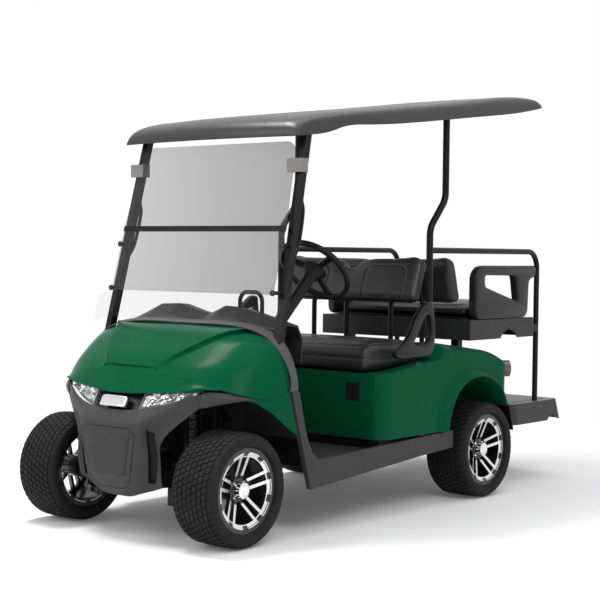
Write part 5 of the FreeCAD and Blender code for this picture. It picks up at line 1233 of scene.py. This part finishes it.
def moulding(name, loops, y, half, bevel, material):
    """A flat moulding in an upright plane along the cart: an outline with holes and round edges."""
    curve = bpy.data.curves.new(name + "_outline", "CURVE")
    curve.dimensions = "2D"
    curve.fill_mode = "BOTH"
    curve.extrude = half - bevel
    curve.bevel_depth = bevel
    curve.bevel_resolution = 3
    curve.offset = -bevel
    for loop in loops:
        spline = curve.splines.new("POLY")
        spline.points.add(len(loop) - 1)
        for point, (x, z) in zip(spline.points, loop):
            point.co = (x, z, 0.0, 1.0)
        spline.use_cyclic_u = True
    outline = bpy.data.objects.new(name + "_outline", curve)
    mesh = bpy.data.meshes.new_from_object(outline)
    bpy.data.objects.remove(outline)
    mesh.transform(Matrix.Translation((0, y, 0)) @ Matrix.Rotation(math.pi / 2, 4, "X"))
    set_material(mesh, material)
    piece = adopt(name, mesh)
    modify(piece, "WELD", merge_threshold=WELD_REACH)
    shade_smooth(mesh, 40.0)
    return piece


ARM_OUTLINE = [(-0.590, 0.838), (-0.590, 1.060), (-0.640, 1.101), (-1.160, 1.101), (-1.160, 1.045),
               (-1.092, 1.030), (-1.082, 0.838)]
ARM_HOLE = [(-0.672, 1.054), (-0.965, 1.050), (-0.992, 0.918), (-0.674, 0.998)]
ARM_SIDE = 0.436
ARM_HALF = 0.024
ARM_BEVEL = 0.011
HIP_OUTLINE = [(-0.100, 0.935), (-0.114, 0.809), (-0.114, 0.731), (-0.088, 0.690), (0.046, 0.688),
               (0.150, 0.688), (0.188, 0.700), (0.188, 0.722), (0.150, 0.740), (0.106, 0.765),
               (0.064, 0.815), (0.029, 0.877), (-0.018, 0.914), (-0.062, 0.940)]
HIP_HOLE = [(-0.070, 0.888), (-0.088, 0.832), (-0.082, 0.768), (-0.038, 0.743), (0.030, 0.742),
            (0.052, 0.756), (0.016, 0.800), (-0.020, 0.862)]
HIP_HALF = 0.015
HIP_BEVEL = 0.008
PLATE_WIDTH = 0.146
PLATE_HEIGHT = 0.046
PLATE_ROUND = 0.18
PLATE_LOW = Vector((1.3805, 0, 0.531))
PLATE_HIGH = Vector((1.3575, 0, 0.574))
PLATE_BULGE = 0.010
PLATE_BULGE_HALF = 0.075
PLATE_SINK = 0.004
# Rings from the plate's back to its face: shares of the width and height, and the lift
PLATE_RINGS = [(1.0, 1.0, -0.006), (1.0, 1.0, 0.003), (0.95, 0.84, 0.005), (0.91, 0.72, 0.005),
               (0.90, 0.69, 0.002)]


def make_plate():
    """The blank badge plate on the black band, with a chrome rim."""
    up = (PLATE_HIGH - PLATE_LOW).normalized()
    out = Vector((up.z, 0, -up.x))
    centre = (PLATE_LOW + PLATE_HIGH) / 2
    square = rounded([(-0.5, -0.5), (0.5, -0.5), (0.5, 0.5), (-0.5, 0.5)], PLATE_ROUND, 4)
    points = []
    for width, height, lift in PLATE_RINGS:
        for a, b in square:
            side = a * PLATE_WIDTH * width
            bulge = PLATE_BULGE * (1.0 - (side / PLATE_BULGE_HALF) ** 2)
            points.append(centre + up * (b * PLATE_HEIGHT * height) + Vector((0, side, 0))
                          + out * (lift + bulge - PLATE_SINK))
    count = len(square)
    faces = grid_faces(5, count, closed=True)
    faces.append(tuple(range(4 * count, 5 * count)))
    piece = add_piece("front_plate", points, faces, CHROME, sharp=30.0)
    piece.data.materials.append(bare_metal("plate_face", (0.55, 0.55, 0.56), 0.35, (1.0, 1.0, 12.0)))
    piece.data.polygons[-1].material_index = 1


def make_rear_arm(name, side):
    piece = moulding(name, [rounded(ARM_OUTLINE, 0.050), rounded(ARM_HOLE, 0.022)], ARM_SIDE * side,
                     ARM_HALF, ARM_BEVEL, ARM_PLASTIC)
    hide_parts("rear_arms")


def make_hip_restraint(name, side):
    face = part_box("hip_restraints")[1].y
    piece = moulding(name, [rounded(HIP_OUTLINE, 0.045), rounded(HIP_HOLE, 0.028)], (face - HIP_HALF) * side,
                     HIP_HALF, HIP_BEVEL, GLOSS_BLACK)
    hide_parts("hip_restraints")


def on_both_sides(make, name):
    for side, mark in ((1, "left"), (-1, "right")):
        make(name + "_" + mark, side)


on_both_sides(make_reflector, "lamp_reflector")
on_both_sides(make_grab_tube, "grab_tube")
make_posts()
make_linings()
on_both_sides(make_wing, "bumper_wing")
on_both_sides(make_rear_arm, "rear_arm")
on_both_sides(make_hip_restraint, "hip_restraint")
make_plate()


# Stage, lights and camera

FLOOR_SIZE = 60.0
CAMERA_PLACE = Vector((5.3081, 4.1910, 1.1547))
CAMERA_LOOK = Vector((-0.77272616, -0.63386992, -0.03321443))
CAMERA_RIGHT = Vector((-0.63447633, 0.77285431, 0.01166222))
FOCAL_PIXELS = 1428.46
FRAME_PIXELS = 600.0
SENSOR_WIDTH = 36.0
WORLD_LIGHT = 0.62
# How much of the floor is plain white, near the cart and further out
FLOOR_SHARE = 0.06
FLOOR_NEAR = 1.7
FLOOR_FAR = 4.5
# Name, place, target, size and power
LAMPS = [
    ("key", (3.0, 5.0, 5.5), (0.2, 0.0, 0.8), (3.0, 3.0), 150.0),
    ("fill", (6.0, -2.0, 3.5), (0.5, 0.0, 0.8), (3.0, 3.0), 90.0),
    ("top", (-1.0, 0.5, 6.5), (-0.2, 0.0, 0.5), (5.0, 4.0), 105.0),
    ("overhead", (1.4, -1.6, 6.3), (1.0, 0.0, 0.7), (2.0, 1.0), 230.0),
]


def seen_directly(tree):
    """1 for what the camera sees, straight, in a reflection or through glass."""
    path = tree.nodes.new("ShaderNodeLightPath")
    total = path.outputs["Is Camera Ray"]
    for name in ("Is Glossy Ray", "Is Transmission Ray"):
        node = tree.nodes.new("ShaderNodeMath")
        node.operation = "MAXIMUM"
        tree.links.new(total, node.inputs[0])
        tree.links.new(path.outputs[name], node.inputs[1])
        total = node.outputs["Value"]
    return total


def floor_material():
    """A white floor that keeps the shadow near the cart and fades into the background further out."""
    shader = Shader("floor_white", 0.9, specular=0.1)
    shader.colour(shader.tones(shader.noise(1.5), (0.93, 0.93, 0.93), 0.995, 1.0))
    x, y, _ = shader.axes(shader.place)
    fade = shader.spread(shader.length(x, y), FLOOR_SHARE, 1.0, FLOOR_NEAR, FLOOR_FAR)
    factor = shader.times(fade, seen_directly(shader.tree))
    glow = shader.node("Emission", "Emission", {"Color": (1.0, 1.0, 1.0, 1.0)})
    mix = shader.node("MixShader", "Shader", {0: factor, 1: shader.surface.outputs["BSDF"], 2: glow})
    shader.feed(mix, shader.tree.nodes["Material Output"].inputs["Surface"])
    return shader.material


def make_stage():
    bpy.ops.mesh.primitive_plane_add(size=FLOOR_SIZE)
    floor = bpy.context.object
    floor.name = "floor"
    floor.data.materials.append(floor_material())


def make_world():
    """White where it is seen, and weaker as a light, so that shapes keep their shade."""
    world = bpy.data.worlds.new("soft_world")
    bpy.context.scene.world = world
    world.use_nodes = True
    tree = world.node_tree
    background = tree.nodes["Background"]
    background.inputs["Color"].default_value = (1.0, 1.0, 1.0, 1.0)
    strength = tree.nodes.new("ShaderNodeMapRange")
    strength.inputs["To Min"].default_value = WORLD_LIGHT
    strength.inputs["To Max"].default_value = 1.0
    tree.links.new(seen_directly(tree), strength.inputs["Value"])
    tree.links.new(strength.outputs["Result"], background.inputs["Strength"])


def area_light(name, place, target, size, power):
    data = bpy.data.lights.new(name, "AREA")
    data.shape = "RECTANGLE"
    data.size, data.size_y = size
    data.energy = power
    light = bpy.data.objects.new(name, data)
    bpy.context.scene.collection.objects.link(light)
    light.location = place
    light.rotation_euler = (Vector(target) - Vector(place)).to_track_quat("-Z", "Y").to_euler()


def make_camera():
    """The photograph's own camera: its place and turn, and its focal length in pixels."""
    data = bpy.data.cameras.new("photo_camera")
    data.sensor_width = SENSOR_WIDTH
    data.lens = FOCAL_PIXELS / FRAME_PIXELS * SENSOR_WIDTH
    camera = bpy.data.objects.new("photo_camera", data)
    bpy.context.scene.collection.objects.link(camera)
    right = CAMERA_RIGHT.normalized()
    back = -CAMERA_LOOK.normalized()
    up = back.cross(right).normalized()
    turn = Matrix((right, up, back)).transposed().to_4x4()
    camera.matrix_world = Matrix.Translation(CAMERA_PLACE) @ turn
    bpy.context.scene.camera = camera


make_stage()
make_world()
for lamp in LAMPS:
    area_light(*lamp)
make_camera()
bpy.context.scene.view_settings.view_transform = "Standard"
